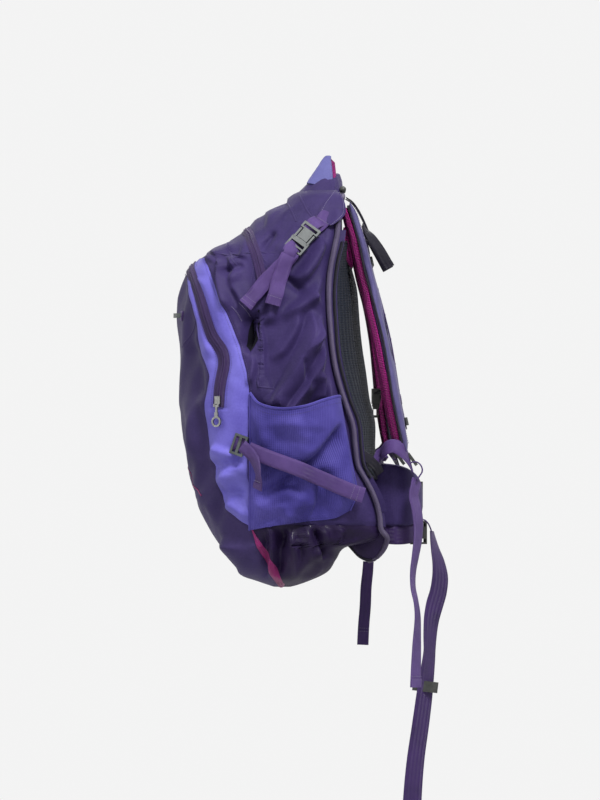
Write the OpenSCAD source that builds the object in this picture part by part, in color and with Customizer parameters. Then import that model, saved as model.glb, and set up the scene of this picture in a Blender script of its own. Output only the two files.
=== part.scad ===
// Ventilated daypack of about 25 litres, hung by its haul loop.
// +Z is up, +X points to the wearer's back and harness, -Y is the wearer's right.
// The origin is the inside of the haul loop's top, where a hook bears.

/* [Bag] */
// Thickness of the bag's fabric panels
panel_t = 1.6; // [1.2:0.1:2]
// Gap left between two neighbouring panels
seam_gap = 0.6; // [0.4:0.1:1]
// Roundness of the front corners, seen from above
front_round = 2.4; // [2.1:0.1:2.8]
// Squareness of the rear corners, seen from above
rear_square = 7; // [5:0.5:8]
// How far the mouth of a side pocket stands open
pocket_bulge = 24; // [20:1:28]

/* [Back and frame] */
// Half of the frame's width
frame_half_w = 112; // [108:1:116]
// Radius of the frame wire
wire_r = 2; // [1.5:0.25:2.5]
// Radius of the edge binding
binding_r = 3.6; // [3:0.2:4]
// How far the back mesh stands off the edge binding at its middle
mesh_arch = 30; // [26:1:32]
// Thickness of the back mesh
mesh_t = 2.5; // [2:0.1:3]

/* [Webbing] */
// Width of the compression and adjuster webbing
webbing_w = 20; // [18:1:22]
// Width of the hip belt's webbing
hip_webbing_w = 25; // [22:1:27]
// Thickness of the webbing
webbing_t = 1.6; // [1.4:0.1:1.8]
// Width of the zips' tapes
tape_w = 11; // [10:0.5:12]

/* [Harness] */
// Width of a shoulder strap
strap_w = 62; // [56:1:66]
// Thickness of a shoulder strap's foam and outer shell
strap_t = 9; // [7:0.5:10]
// Thickness of a shoulder strap's spacer mesh lining
lining_t = 3.4; // [3:0.2:4]
// Height of a hip belt wing at its root
wing_h = 66; // [60:1:68]
// Thickness of a hip belt wing
wing_t = 12; // [10:1:13]

/* [Fittings] */
// Thickness of a moulded plastic fitting
fitting_t = 5; // [4.5:0.25:5.5]
// Radius of the bore in the front zip's pull ring
ring_bore_r = 4.5; // [4.2:0.1:4.8]
// Radius of the pull ring's outside
ring_r = 7; // [6.8:0.1:7.4]

/* [Hidden] */
$fn = 32;
webbing_c = [0.36, 0.26, 0.52];
dark_c = [0.25, 0.2, 0.42];
lavender_c = [0.47, 0.42, 0.82];
magenta_c = [0.72, 0.16, 0.58];
plastic_c = [0.46, 0.48, 0.48];
plum_c = [0.24, 0.15, 0.34];

// Side profile, by depth below the haul loop: [depth, x]
FRONT_X = [
    [40, -14], [44, -36], [60, -58], [72, -86], [92, -103], [108, -124], [125, -151], [140, -175],
    [155, -186], [186, -194], [212, -197], [245, -194], [291, -194], [324, -193], [376, -186],
    [415, -178], [448, -172], [487, -158], [516, -141], [540, -122], [555, -96], [563, -74]
];
REAR_X = [
    [40, 6], [44, 12], [77, 12], [107, 11], [136, 6], [172, 3], [219, 5], [266, 10], [312, 22],
    [347, 35], [382, 39], [402, 42], [427, 56], [449, 66], [473, 71], [496, 69], [503, 50],
    [508, 22], [524, 9], [542, -4], [557, -37], [563, -58]
];
HALF_W = [
    [40, 14], [44, 56], [60, 78], [80, 94], [107, 108], [136, 119], [186, 131], [245, 139],
    [324, 144], [400, 144], [450, 141], [487, 135], [516, 123], [540, 103], [555, 72], [563, 26]
];
// Line of the front pocket's zip and, below it, of the front panel's seam
ZIP_X = [
    [128, -168], [150, -176.5], [155, -175], [181, -166], [212, -157], [237, -148], [253, -137],
    [270, -134], [286, -137], [304, -140], [325, -141], [409, -148], [455, -135], [485, -104]
];
// Rear edge of the lavender gusset
GUSSET_X = [[128, -150], [140, -157], [237, -120], [300, -104], [440, -102], [485, -70]];

// Catmull-Rom value of a table of [key, value] at a key
function lower_index(t, key) =
    let (below = [for (k = [0 : len(t) - 2]) if (t[k][0] <= key) k])
    len(below) > 0 ? below[len(below) - 1] : 0;
function slope(t, k) =
    let (a = max(k - 1, 0), b = min(k + 1, len(t) - 1)) (t[b][1] - t[a][1]) / (t[b][0] - t[a][0]);
function curve(t, key) =
    let (k = lower_index(t, key), h = t[k + 1][0] - t[k][0], s = (key - t[k][0]) / h,
        s2 = s * s, s3 = s2 * s)
    (2 * s3 - 3 * s2 + 1) * t[k][1] + (s3 - 2 * s2 + s) * h * slope(t, k)
    + (3 * s2 - 2 * s3) * t[k + 1][1] + (s3 - s2) * h * slope(t, k + 1);

// Points of a smooth curve through a list of points, with k steps between two of them
function blend_points(a, b, c, d, s) =
    0.5 * (2 * b + (c - a) * s + (2 * a - 5 * b + 4 * c - d) * s * s
    + (3 * b - a - 3 * c + d) * s * s * s);
function smooth(p, k) = let (n = len(p) - 1)
    [for (i = [0 : n - 1], j = [0 : k - 1])
        blend_points(p[max(i - 1, 0)], p[i], p[i + 1], p[min(i + 2, n)], j / k), p[n]];
function unit(v) = v / norm(v);
function mix(a, b, s) = a + (b - a) * s;

// Skin of the bag: d is the depth, u the angle from the rear by the right side to the front
function middle_x(d) = (curve(FRONT_X, d) + curve(REAR_X, d)) / 2;
function half_depth(d) = (curve(REAR_X, d) - curve(FRONT_X, d)) / 2;
function corner(c) = c > 0 ? rear_square : front_round;
function skin(d, u, off) = let (c = cos(u), s = sin(u), e = 2 / corner(c))
    [middle_x(d) + (half_depth(d) + off) * sign(c) * pow(abs(c), e),
    -(curve(HALF_W, d) + off) * sign(s) * pow(abs(s), e), -d];
function angle_at(x, d) =
    let (c = min(1, max(-1, (x - middle_x(d)) / half_depth(d))))
    acos(sign(c) * pow(abs(c), corner(c) / 2));
function on_side(x, d, off) = skin(d, angle_at(x, d), off);
function side_normal(x, d) = let (u = angle_at(x, d))
    unit(cross(skin(d, u + 1, 0) - skin(d, u - 1, 0), skin(d + 1, u, 0) - skin(d - 1, u, 0)));

// Closed sheet between two grids of points, each a list of rows
module sheet(outer, inner) {
    nr = len(outer) - 1;
    nc = len(outer[0]) - 1;
    n = (nr + 1) * (nc + 1);
    function at(i, j) = i * (nc + 1) + j;
    skins = [for (i = [0 : nr - 1], j = [0 : nc - 1]) each [
        [at(i, j), at(i + 1, j), at(i + 1, j + 1)], [at(i, j), at(i + 1, j + 1), at(i, j + 1)],
        [n + at(i, j), n + at(i + 1, j + 1), n + at(i + 1, j)],
        [n + at(i, j), n + at(i, j + 1), n + at(i + 1, j + 1)]]];
    ends = [for (j = [0 : nc - 1]) each [
        [at(0, j), at(0, j + 1), n + at(0, j + 1)], [at(0, j), n + at(0, j + 1), n + at(0, j)],
        [at(nr, j), n + at(nr, j + 1), at(nr, j + 1)], [at(nr, j), n + at(nr, j), n + at(nr, j + 1)]]];
    sides = [for (i = [0 : nr - 1]) each [
        [at(i, 0), n + at(i + 1, 0), at(i + 1, 0)], [at(i, 0), n + at(i, 0), n + at(i + 1, 0)],
        [at(i, nc), at(i + 1, nc), n + at(i + 1, nc)], [at(i, nc), n + at(i + 1, nc), n + at(i, nc)]]];
    polyhedron(concat([for (r = outer) each r], [for (r = inner) each r]), concat(skins, ends, sides));
}

// Panel of the bag's skin over a list of depths, from angle f(d) to angle g(d)
module panel(depths, f, g, columns, low = 0, high = panel_t) {
    function rows(off) = [for (d = depths) [for (j = [0 : columns])
        skin(d, mix(f(d), g(d), j / columns), off)]];
    sheet(rows(high), rows(low));
}

// Flat strap along points, with a normal at each; its inner face lies on the points
function across(p, n, i) = let (a = max(i - 1, 0), b = min(i + 1, len(p) - 1))
    unit(cross(p[b] - p[a], n[i]));
module ribbon(p, n, w, t) {
    last = len(p) - 1;
    outer = [for (i = [0 : last]) [for (s = [0.5, -0.5]) p[i] + across(p, n, i) * w * s + n[i] * t]];
    inner = [for (i = [0 : last]) [for (s = [0.5, -0.5]) p[i] + across(p, n, i) * w * s]];
    sheet(outer, inner);
}
// Flat strap on the bag's right side, through places [x, depth], at a height off the skin
module side_ribbon(places, w, t, off, k = 4) {
    q = smooth(places, k);
    ribbon([for (a = q) on_side(a[0], a[1], off(a))], [for (a = q) side_normal(a[0], a[1])], w, t);
}

// Round tube along points
module tube(p, r, sides = 8) {
    last = len(p) - 1;
    dirs = [for (i = [0 : last]) unit(p[min(i + 1, last)] - p[max(i - 1, 0)])];
    side = [for (t = dirs) unit(cross(t, abs(t[1]) < 0.9 ? [0, 1, 0] : [1, 0, 0]))];
    pts = [for (i = [0 : last], k = [0 : sides - 1])
        p[i] + r * (cos(k * 360 / sides) * side[i] + sin(k * 360 / sides) * cross(dirs[i], side[i]))];
    walls = [for (i = [0 : last - 1], k = [0 : sides - 1]) let (m = (k + 1) % sides, a = i * sides)
        each [[a + k, a + sides + k, a + sides + m], [a + k, a + sides + m, a + m]]];
    first = [[for (k = [0 : sides - 1]) k]];
    end = [[for (k = [sides - 1 : -1 : 0]) last * sides + k]];
    polyhedron(pts, concat(walls, first, end));
}

// Places children with their X along x and their Z as near z as it can be
module place(p, x, z) {
    a = unit(x);
    b = unit(cross(z, a));
    c = cross(a, b);
    multmatrix([[a[0], b[0], c[0], p[0]], [a[1], b[1], c[1], p[1]], [a[2], b[2], c[2], p[2]]])
        children();
}
module both_sides() {
    children();
    mirror([0, 1, 0]) children();
}

// Depths at which panels have their rows
TOP_DEPTHS = [40.2, 42, 44, 52, 60, 66, 72, 82, 92, 100, 108, 116, 125, 130];
pocket_top_d = 150;
SIDE_DEPTHS = [130 + seam_gap, 140, pocket_top_d - 2 * seam_gap, pocket_top_d - seam_gap, 158,
    for (d = [175 : 20 : 455]) d, 468, 480];
FRONT_DEPTHS = [pocket_top_d, 158, for (d = [175 : 20 : 455]) d, 468, 480];
BOTTOM_DEPTHS = [480 + seam_gap, 490, 496, 500, 503, 508, 516, 524, 532, 540, 548, 555, 560, 563];
rear_u = 42;
function gusset_u(d) = angle_at(curve(GUSSET_X, d), d);
function zip_u(d) = angle_at(curve(ZIP_X, d), d);
function gap_u(d) = seam_gap * 57.3 / curve(HALF_W, d);

module back_panel() {
    color(dark_c)
        panel([for (d = concat(TOP_DEPTHS, SIDE_DEPTHS)) if (d > 50) d],
            function(d) gap_u(d) - rear_u, function(d) rear_u - gap_u(d), 10);
}
module side_panel() {
    color(dark_c) panel(SIDE_DEPTHS, function(d) rear_u, function(d) gusset_u(d) - gap_u(d), 12);
}
// Above the front pocket the two gussets meet in the middle of the front
function gusset_front_u(d) = d < pocket_top_d - 1.5 * seam_gap ? 180 - gap_u(d) : zip_u(d) - gap_u(d);
module front_gusset() {
    color(lavender_c)
        panel(SIDE_DEPTHS, function(d) gusset_u(d), function(d) gusset_front_u(d), 6);
}
module front_panel() {
    color(dark_c) panel(FRONT_DEPTHS, function(d) zip_u(d), function(d) 360 - zip_u(d), 16);
}
module top_panel() {
    color(dark_c) panel(TOP_DEPTHS, function(d) rear_u, function(d) 360 - rear_u, 18);
}
module bottom_panel() {
    // The ring is left open by a slit as wide as a seam, in the middle of its rear
    slit = function(d) asin(pow(seam_gap / 2 / curve(HALF_W, d), rear_square / 2));
    color(plum_c) panel(BOTTOM_DEPTHS, slit, function(d) 360 - slit(d), 24);
}

// Stretch side pocket: s runs from its front seam to its rear edge, t from its mouth down
POCKET_TOP = [[0, 308], [0.1, 321], [0.3, 328], [0.5, 325], [0.7, 316], [0.9, 312], [1, 316]];
POCKET_BOTTOM = [[0, 486], [0.25, 480], [0.6, 474], [0.85, 470], [1, 460]];
POCKET_REAR = [[0, 12], [0.3, 20], [0.6, 28], [0.85, 34], [1, 26]];
pocket_front_x = -101;
function pocket_depth(s, t) = mix(curve(POCKET_TOP, s), curve(POCKET_BOTTOM, s), t);
function pocket_x(s, t) = mix(pocket_front_x, curve(POCKET_REAR, t), s);
function pocket_off(s, t) = panel_t + 0.6
    + (pocket_bulge * pow(1 - t, 1.6) + 5) * pow(sin(180 * s), 0.8) * min(1, (1.02 - t) * 6);
// Height of the pocket's skin at a place of the bag's side, zero outside it
function place_t(x, d) = let (s = min(1, max(0, (x - pocket_front_x) / 140)))
    min(1, max(0, (d - curve(POCKET_TOP, s)) / (curve(POCKET_BOTTOM, s) - curve(POCKET_TOP, s))));
function place_s(x, d) = let (rear = curve(POCKET_REAR, place_t(x, d)))
    min(1, max(0, (x - pocket_front_x) / (rear - pocket_front_x)));
function pocket_height(x, d) = pocket_off(place_s(x, d), place_t(x, d)) + 1.4;
module side_pocket() {
    function rows(extra) = [for (t = [0 : 10]) [for (s = [0 : 12])
        let (a = s / 12, b = t / 10) on_side(pocket_x(a, b), pocket_depth(a, b),
            pocket_off(a, b) + extra)]];
    // Columns run from the front seam to the rear, so the two grids change places
    color([0.4, 0.36, 0.73]) sheet(rows(0), rows(1.4));
}
// Zips lie on the panels; the front zip goes over the top of the front pocket
zip_off = panel_t + 0.3;
FRONT_ZIP_DEPTHS = [325, 312, 300, 285, 270, 255, 240, 225, 210, 195, 180, 167, 157, pocket_top_d];
module front_zip_tape() {
    right = [for (d = FRONT_ZIP_DEPTHS) on_side(curve(ZIP_X, d), d, zip_off)];
    right_n = [for (d = FRONT_ZIP_DEPTHS) side_normal(curve(ZIP_X, d), d)];
    n = len(right) - 1;
    bridge_u = [for (k = [1 : 7]) mix(zip_u(pocket_top_d), 360 - zip_u(pocket_top_d), k / 8)];
    bridge_d = [for (k = [1 : 7]) pocket_top_d - 9 * sin(k * 22.5)];
    bridge = [for (k = [0 : 6]) skin(bridge_d[k], bridge_u[k], zip_off)];
    bridge_n = [for (k = [0 : 6]) unit(cross(
        skin(bridge_d[k], bridge_u[k] + 1, 0) - skin(bridge_d[k], bridge_u[k] - 1, 0),
        skin(bridge_d[k] + 1, bridge_u[k], 0) - skin(bridge_d[k] - 1, bridge_u[k], 0)))];
    color(webbing_c) ribbon(
        concat(right, bridge, [for (k = [n : -1 : 0]) [right[k][0], -right[k][1], right[k][2]]]),
        concat(right_n, bridge_n, [for (k = [n : -1 : 0]) [right_n[k][0], -right_n[k][1], right_n[k][2]]]),
        tape_w, 1.2);
}
MAIN_ZIP = [[-84, 172], [-88, 150], [-93, 130], [-98, 112], [-101, 100]];
module main_zip_tape() {
    q = smooth(MAIN_ZIP, 3);
    right = [for (a = q) on_side(a[0], a[1], zip_off)];
    right_n = [for (a = q) side_normal(a[0], a[1])];
    n = len(right) - 1;
    bridge_d = 96;
    bridge_u = [for (k = [0 : 8]) mix(150, 210, k / 8)];
    bridge = [for (u = bridge_u) skin(bridge_d, u, zip_off)];
    bridge_n = [for (u = bridge_u) unit(cross(skin(bridge_d, u + 1, 0) - skin(bridge_d, u - 1, 0),
        skin(bridge_d + 1, u, 0) - skin(bridge_d - 1, u, 0)))];
    color(webbing_c) ribbon(
        concat(right, bridge, [for (k = [n : -1 : 0]) [right[k][0], -right[k][1], right[k][2]]]),
        concat(right_n, bridge_n, [for (k = [n : -1 : 0]) [right_n[k][0], -right_n[k][1], right_n[k][2]]]),
        tape_w, 1.2);
}

// Haul loop: its inner side, from the right foot over the top to the left foot
LOOP = [[-12, -36, -38.6], [-9, -29, -30], [-5, -18, -16], [-2, -7, -4], [0, 0, 0]];
LOOP_W = [34, 31, 21, 12, 8];
loop_t = 3;
module haul_loop() {
    up = [[0, -0.86, 0.5], [0, -0.8, 0.6], [0, -0.78, 0.63], [0, -0.6, 0.8], [0, 0, 1]];
    right = [for (k = [0 : 4]) [for (s = [0.5, -0.5]) LOOP[k] + [s * LOOP_W[k], 0, 0]]];
    left = [for (k = [3 : -1 : 0]) [for (s = [0.5, -0.5])
        [LOOP[k][0] + s * LOOP_W[k], -LOOP[k][1], LOOP[k][2]]]];
    function raise(n) = [n[0], -n[1], n[2]];
    outer = concat([for (k = [0 : 4]) [for (p = right[k]) p + loop_t * up[k]]],
        [for (k = [0 : 3]) [for (p = left[k]) p + loop_t * raise(up[3 - k])]]);
    color(lavender_c) sheet(outer, concat(right, left));
}

// Dark triangular wings that brace the top corners, over the top panel
WING_PLACES = [[-4, 57], [-8, 66], [-14, 76], [-18, 86]];
module stabiliser_wings() {
    w = [40, 36, 30, 22];
    color(dark_c) both_sides() {
        p = [for (a = WING_PLACES) on_side(a[0], a[1], panel_t + 0.8)];
        n = [for (a = WING_PLACES) side_normal(a[0], a[1])];
        sheet([for (i = [0 : 3]) [for (s = [0.5, -0.5]) p[i] + across(p, n, i) * w[i] * s + n[i] * 1.6]],
            [for (i = [0 : 3]) [for (s = [0.5, -0.5]) p[i] + across(p, n, i) * w[i] * s]]);
    }
}

// Frame: a bent wire round the inside of the back, a stiff sheet, and a sleeve for a water bladder
wire_gap = 9;
function rear_half_w(d) = min(frame_half_w, 0.84 * curve(HALF_W, d) - 4);
function wire_side(y) = [for (d = [70, 90, for (k = [110 : 30 : 470]) k, 486])
    [curve(REAR_X, d) - wire_gap, y * (rear_half_w(d) - (d < 75 || d > 480 ? 10 : 0)), -d]];
module frame_wire() {
    right = wire_side(-1);
    left = wire_side(1);
    n = len(right) - 1;
    top = [right[0][0], 0, -62];
    color([0.55, 0.56, 0.58]) tube(concat([top + [0, -2.4, 0]], right, [[61, -80, -490], [61, 80, -490]],
        [for (k = [n : -1 : 0]) left[k]], [top + [0, 2.4, 0]]), wire_r, 8);
}
sheet_half_w = 78;
function back_grid(depths, half, x) = [for (d = depths) [for (y = [-1, -0.5, 0, 0.5, 1])
    [curve(REAR_X, d) - x, half * y, -d]]];
module frame_sheet() {
    depths = [100, for (d = [130 : 30 : 430]) d];
    color([0.86, 0.86, 0.84])
        sheet(back_grid(depths, -sheet_half_w, 15.5), back_grid(depths, -sheet_half_w, 14));
}
module hydration_sleeve() {
    depths = [110, for (d = [140 : 40 : 380]) d];
    color(dark_c) sheet(back_grid(depths, -sheet_half_w, 26), back_grid(depths, -sheet_half_w, 24.6));
}

// Binding round the frame's edge, in one closed run that meets at the top
binding_off = panel_t + binding_r + 0.5;
module edge_binding() {
    side = [for (d = [56, 66, 80, for (k = [100 : 25 : 400]) k, 412, 427, 440, 455, 470, 485])
        skin(d, rear_u, binding_off)];
    n = len(side) - 1;
    foot = [[76, -116, -496], [72, -108, -510], [62, -98, -521], [54, -84, -525]];
    top_x = curve(REAR_X, 56) + panel_t + binding_r + 0.6;
    top = [[top_x, -0.4, -50], [top_x, -30, -50.4], [top_x, -52, -52]];
    right = concat(top, side, foot);
    m = len(right) - 1;
    color([0.38, 0.32, 0.45])
        tube(concat(right, [for (k = [m : -1 : 0]) [right[k][0], -right[k][1], right[k][2]]]), binding_r, 8);
}

// Back mesh stretched between the two bindings, clear of the back panel
ARCH = [
    [110, 0.25], [140, 0.55], [172, 0.88], [219, 0.97], [266, 1], [312, 0.84], [359, 0.6],
    [406, 0.5], [414, 0.5]
];
mesh_edge_gap = 3;
function mesh_x(d, s) = skin(d, rear_u, 0)[0] + 12 + mesh_arch * curve(ARCH, d) * (1 - s * s);
function mesh_y(d) = -skin(d, rear_u, 0)[1] - binding_r - mesh_edge_gap;
module back_mesh() {
    depths = [118, 134, for (k = [150 : 25 : 400]) k, 412];
    function rows(x) = [for (d = depths) [for (k = [-6 : 6]) [mesh_x(d, k / 6) + x, mesh_y(d) * k / 6, -d]]];
    color([0.06, 0.08, 0.14]) sheet(rows(0), rows(mesh_t));
}
// Lumbar pad under the mesh and the roll along the frame's foot
lumbar_half_w = 74;
lumbar_t = 9;
roll_r = 6.5;
roll_w = 132;
module lumbar_pad() {
    depths = [for (k = [424 : 12 : 496]) k];
    function rows(x) = [for (d = depths) [for (s = [-1 : 0.25 : 1])
        [curve(REAR_X, d) + panel_t + 1.2 + x * sqrt(1.05 - s * s), lumbar_half_w * s, -d]]];
    color(dark_c) {
        sheet(rows(0), rows(lumbar_t));
        translate([57, -roll_w / 2, -513.6]) rotate([-90, 0, 0]) cylinder(h = roll_w, r = roll_r);
    }
}
// Reinforced patch that the shoulder straps are sewn to
yoke_size = [2.2, 124, 36];
module shoulder_yoke() {
    color(dark_c) translate([14.6, -yoke_size[1] / 2, -98]) cube(yoke_size);
}

// Side-release buckle, along X from its socket's bar to its plug's ladder lock
buckle_w = 26;
socket_l = 24;
arm_root = 27;
arm_y = 10.4;
module buckle_socket() {
    difference() {
        union() {
            translate([0, -buckle_w / 2, 0]) cube([9.6, buckle_w, fitting_t]);
            translate([9, -7.6, 0]) cube([socket_l - 9, 15.2, fitting_t]);
        }
        translate([3.4, -10.4, -1]) cube([4, 20.8, fitting_t + 2]);
        translate([13, -4, 1.2]) cube([socket_l, 8, fitting_t - 2.4]);
    }
}
module buckle_plug() {
    difference() {
        union() {
            translate([arm_root - 2.4, -buckle_w / 2, 0]) cube([19, buckle_w, fitting_t]);
            translate([14, -3.6, 1.5]) cube([12, 7.2, fitting_t - 3]);
        }
        translate([arm_root + 4, -10.4, -1]) cube([4.4, 20.8, fitting_t + 2]);
        translate([arm_root + 10.4, -10.4, -1]) cube([4, 20.8, fitting_t + 2]);
        for (s = [-1, 1]) translate([arm_root, s * arm_y, -1]) cylinder(h = fitting_t + 2, r = 1.83);
        for (s = [-1, 1]) translate([arm_root - 3, s * arm_y - 1.9, -1]) cube([3, 3.8, fitting_t + 2]);
    }
}
module buckle_arm(s) {
    difference() {
        union() {
            translate([arm_root, s * arm_y, 0]) cylinder(h = fitting_t, r = 1.8);
            translate([11, s * arm_y - 1.3, 0]) cube([arm_root - 11, 2.6, fitting_t]);
        }
        translate([arm_root, s * arm_y, -1]) cylinder(h = fitting_t + 2, r = 0.6);
    }
}
BUCKLE_FROM = [-22, 93];
BUCKLE_TO = [-50, 126];
fitting_off = panel_t + 3.6;
module at_buckle() {
    p = on_side(BUCKLE_FROM[0], BUCKLE_FROM[1], fitting_off);
    q = on_side(BUCKLE_TO[0], BUCKLE_TO[1], fitting_off);
    place(p, q - p, side_normal(-36, 110)) children();
}
module buckle_sockets() { color(plastic_c) both_sides() at_buckle() buckle_socket(); }
module buckle_plugs() { color(plastic_c) both_sides() at_buckle() buckle_plug(); }
module buckle_arm_at(s) { color(plastic_c) at_buckle() buckle_arm(s); }

// Compression webbing: its anchor, then the run to the front seam with the tail that hangs from it
module upper_anchors() {
    color(webbing_c) both_sides()
        side_ribbon([[-8, 79], [-14, 85], [-20, 91]], webbing_w, webbing_t,
            function(a) panel_t + 3.2, 2);
}
UPPER_RUN = [[-50, 127], [-66, 145], [-88, 170], [-106, 192]];
UPPER_TAIL = [[-57, 131], [-61, 148], [-68, 170], [-74, 192]];
module upper_webbing() {
    color(webbing_c) both_sides() {
        side_ribbon(UPPER_RUN, webbing_w, webbing_t, function(a) panel_t + 2.6, 3);
        side_ribbon(UPPER_TAIL, webbing_w, webbing_t, function(a) panel_t + 7.4, 3);
    }
}
LOWER_RUN = [[-101, 382], [-78, 392], [-50, 404], [-20, 418], [8, 431], [30, 441]];
LOWER_TAIL = [[-104, 378], [-92, 392], [-86, 410], [-84, 430]];
module lower_webbing() {
    color(webbing_c) both_sides() {
        side_ribbon(LOWER_RUN, webbing_w, webbing_t, function(a) pocket_height(a[0], a[1]) + 3, 3);
        side_ribbon(LOWER_TAIL, 16, webbing_t, function(a) pocket_height(a[0], a[1]) + 8.6, 3);
    }
}
// Ladder lock: a frame with two slots and a crossbar
module ladder_lock(w = 27, l = 18, slot = 21.5) {
    difference() {
        translate([0, -w / 2, 0]) cube([l, w, fitting_t - 1]);
        translate([2.6, -slot / 2, -1]) cube([4.6, slot, fitting_t + 1]);
        translate([l - 7.2, -slot / 2, -1]) cube([4.6, slot, fitting_t + 1]);
    }
}
module ladder_locks() {
    p = on_side(-122, 372, fitting_off - 1.6);
    q = on_side(-104, 379, fitting_off - 1.6);
    color(plastic_c) both_sides() place(p, q - p, side_normal(-113, 376)) ladder_lock();
}

// Tool loop on the front: a webbing tab with a plastic hook
gear_depth = 207;
gear_u = 158;
gear_n = unit(cross(skin(gear_depth, gear_u + 1, 0) - skin(gear_depth, gear_u - 1, 0),
    skin(gear_depth + 1, gear_u, 0) - skin(gear_depth - 1, gear_u, 0)));
module at_gear() {
    place(skin(gear_depth, gear_u, panel_t + 0.6), [0, 0, 1], gear_n) children();
}
module gear_tab() {
    color(webbing_c) at_gear() translate([-6, -8, 0]) cube([12, 16, 1.8]);
}
module gear_hook() {
    color(plastic_c) at_gear() translate([-3, -9, 2.2]) difference() {
        cube([6, 18, 5]);
        translate([-1, 2, 1.4]) cube([8, 14, 2.2]);
    }
}

// Zip slider on the straight stretch of the front zip, with a pull that ends in a ring
slider_depth = 318;
slider_p = on_side(-141, slider_depth, zip_off + 1.6);
slider_n = side_normal(-141, slider_depth);
pull_drop = 21;
pull_n = unit([slider_n[0], slider_n[1], 0]);
module slider_body() {
    translate([-6, -4, 0]) cube([12, 8, 3]);
}
module zip_slider() {
    color(plastic_c) place(slider_p, [0, 0, -1], pull_n) difference() {
        union() {
            slider_body();
            for (s = [-1, 1]) translate([4, s * 3 - 1, 2.6]) cube([4, 2, 3.4]);
        }
        translate([6, -5, 4.4]) rotate([-90, 0, 0]) cylinder(h = 10, r = 0.85);
    }
}
// The pull hangs from a pin across the slider's two ears
module zip_pull() {
    color(plastic_c) place(slider_p, [0, 0, -1], pull_n) difference() {
        union() {
            translate([6, -4, 4.4]) rotate([-90, 0, 0]) cylinder(h = 8, r = 0.8);
            translate([6, -1.6, 3.4]) cube([10, 3.2, 2]);
            translate([6 + pull_drop, 0, 3.4]) cylinder(h = 2.6, r = ring_r);
            translate([15, -2.5, 3.4]) cube([6, 5, 2.6]);
        }
        translate([6 + pull_drop, 0, 0]) cylinder(h = 8, r = ring_bore_r);
    }
}
main_slider_x = -96.4;
main_slider_depth = 118;
main_slider_p = on_side(main_slider_x, main_slider_depth, zip_off + 1.6);
main_slider_n = side_normal(main_slider_x, main_slider_depth);
main_down = unit(on_side(-93.4, 128, 0) - on_side(-98.5, 110, 0));
module main_zip_slider() {
    color(plastic_c) place(main_slider_p, main_down, main_slider_n) difference() {
        union() {
            slider_body();
            for (s = [-1, 1]) translate([4, s * 3 - 1, 2.6]) cube([4, 2, 3.4]);
        }
        translate([6, -5, 4.4]) rotate([-90, 0, 0]) cylinder(h = 10, r = 0.85);
    }
}
module main_zip_pull() {
    color(plastic_c) place(main_slider_p, main_down, main_slider_n) {
        translate([6, -4, 4.4]) rotate([-90, 0, 0]) cylinder(h = 8, r = 0.8);
        translate([6, -1.6, 3.4]) cube([22, 3.2, 2]);
    }
}

// Shoulder strap: the middle of its thickness, from its root at the yoke down to its foot
STRAP = [
    [26, -40, -66], [38, -50, -107], [48, -61, -153], [59, -73, -193], [70, -82, -238],
    [77, -88, -278], [83, -92, -317], [91, -94, -356], [97, -95, -384]
];
// The left strap is drawn tighter, so its lower half lies nearer the back
LEFT_SHIFT = [0, 0, 0, 0, 3, 6, 9, 12, 14];
function strap_line(shift) = smooth([for (k = [0 : 8]) STRAP[k] - [LEFT_SHIFT[k] * shift, 0, 0]], 2);
function strap_normals(p) = [for (i = [0 : len(p) - 1])
    let (a = max(i - 1, 0), b = min(i + 1, len(p) - 1), t = unit(p[b] - p[a])) unit(cross(t, [0, 1, 0]))];
function strap_width(i, n) = strap_w * (i < 2 ? 0.8 : (i > n - 3 ? 0.72 : 1));
module strap_layer(shift, low, t, trim) {
    p = strap_line(shift);
    n = strap_normals(p);
    last = len(p) - 1;
    function row(h, i) = [for (s = [-0.5, -0.2, 0.2, 0.5])
        p[i] + n[i] * (h - (abs(s) > 0.3 ? 1.5 : 0)) + across(p, n, i) * s * (strap_width(i, last) - trim)];
    sheet([for (i = [0 : last]) row(low + t, i)], [for (i = [0 : last]) row(low, i)]);
}
strap_low = -2.2;
module strap(shift) { color([0.42, 0.38, 0.63]) strap_layer(shift, strap_low, strap_t, 0); }
module strap_lining(shift) {
    color(magenta_c) strap_layer(shift, strap_low - lining_t - 0.3, lining_t, 6);
}
function foot(shift) = STRAP[8] - [LEFT_SHIFT[8] * shift, 0, 0];
LOCK_DIR = unit([19, -2, -26]);
module strap_lock(shift) {
    color(plastic_c) place(foot(shift) + [5, -1, -4], LOCK_DIR, [0.8, 0, 0.6]) ladder_lock();
}
// Load lifter: from the top of the back, over the root of the strap
LIFTER = [[24.4, -44, -54.6], [32, -47, -60.4], [41, -51, -74], [50, -55, -94], [56, -58, -114]];
LIFTER_TAIL = [[61, -62, -127], [68, -63, -134], [76, -64, -144], [83, -64, -154]];
module load_lifter() {
    p = smooth(LIFTER, 3);
    q = smooth(LIFTER_TAIL, 2);
    color([0.14, 0.11, 0.22]) {
        ribbon(p, strap_normals(p), 15, webbing_t);
        ribbon(q, strap_normals(q), 15, webbing_t);
    }
}
// Adjuster webbing: from the frame's corner up to the strap's ladder lock
module adjuster(shift) {
    end = foot(shift) + [10, -7, -22];
    low = [88, -113, -440];
    p = smooth([[80, -114, -452], low, mix(low, end, 0.6), end], 2);
    color(webbing_c) ribbon(p, strap_normals(p), webbing_w, webbing_t);
}

// Sternum slider with a slot for the strap's rail, and the buckle half that hangs from it
sternum_l = 20;
module sternum_fitting(x, y, z, plug) {
    color(plastic_c) translate([x, y, z]) {
        difference() {
            cube([9, 6, sternum_l]);
            translate([-1, 1.4, 6]) cube([11, 3.2, 8]);
        }
        translate([1.5, 0.5, -18]) difference() {
            cube([6, 5, 17.4]);
            translate([plug ? -1 : 1.2, -1, 3]) cube([plug ? 8 : 3.6, 7, 8]);
        }
    }
}

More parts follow.
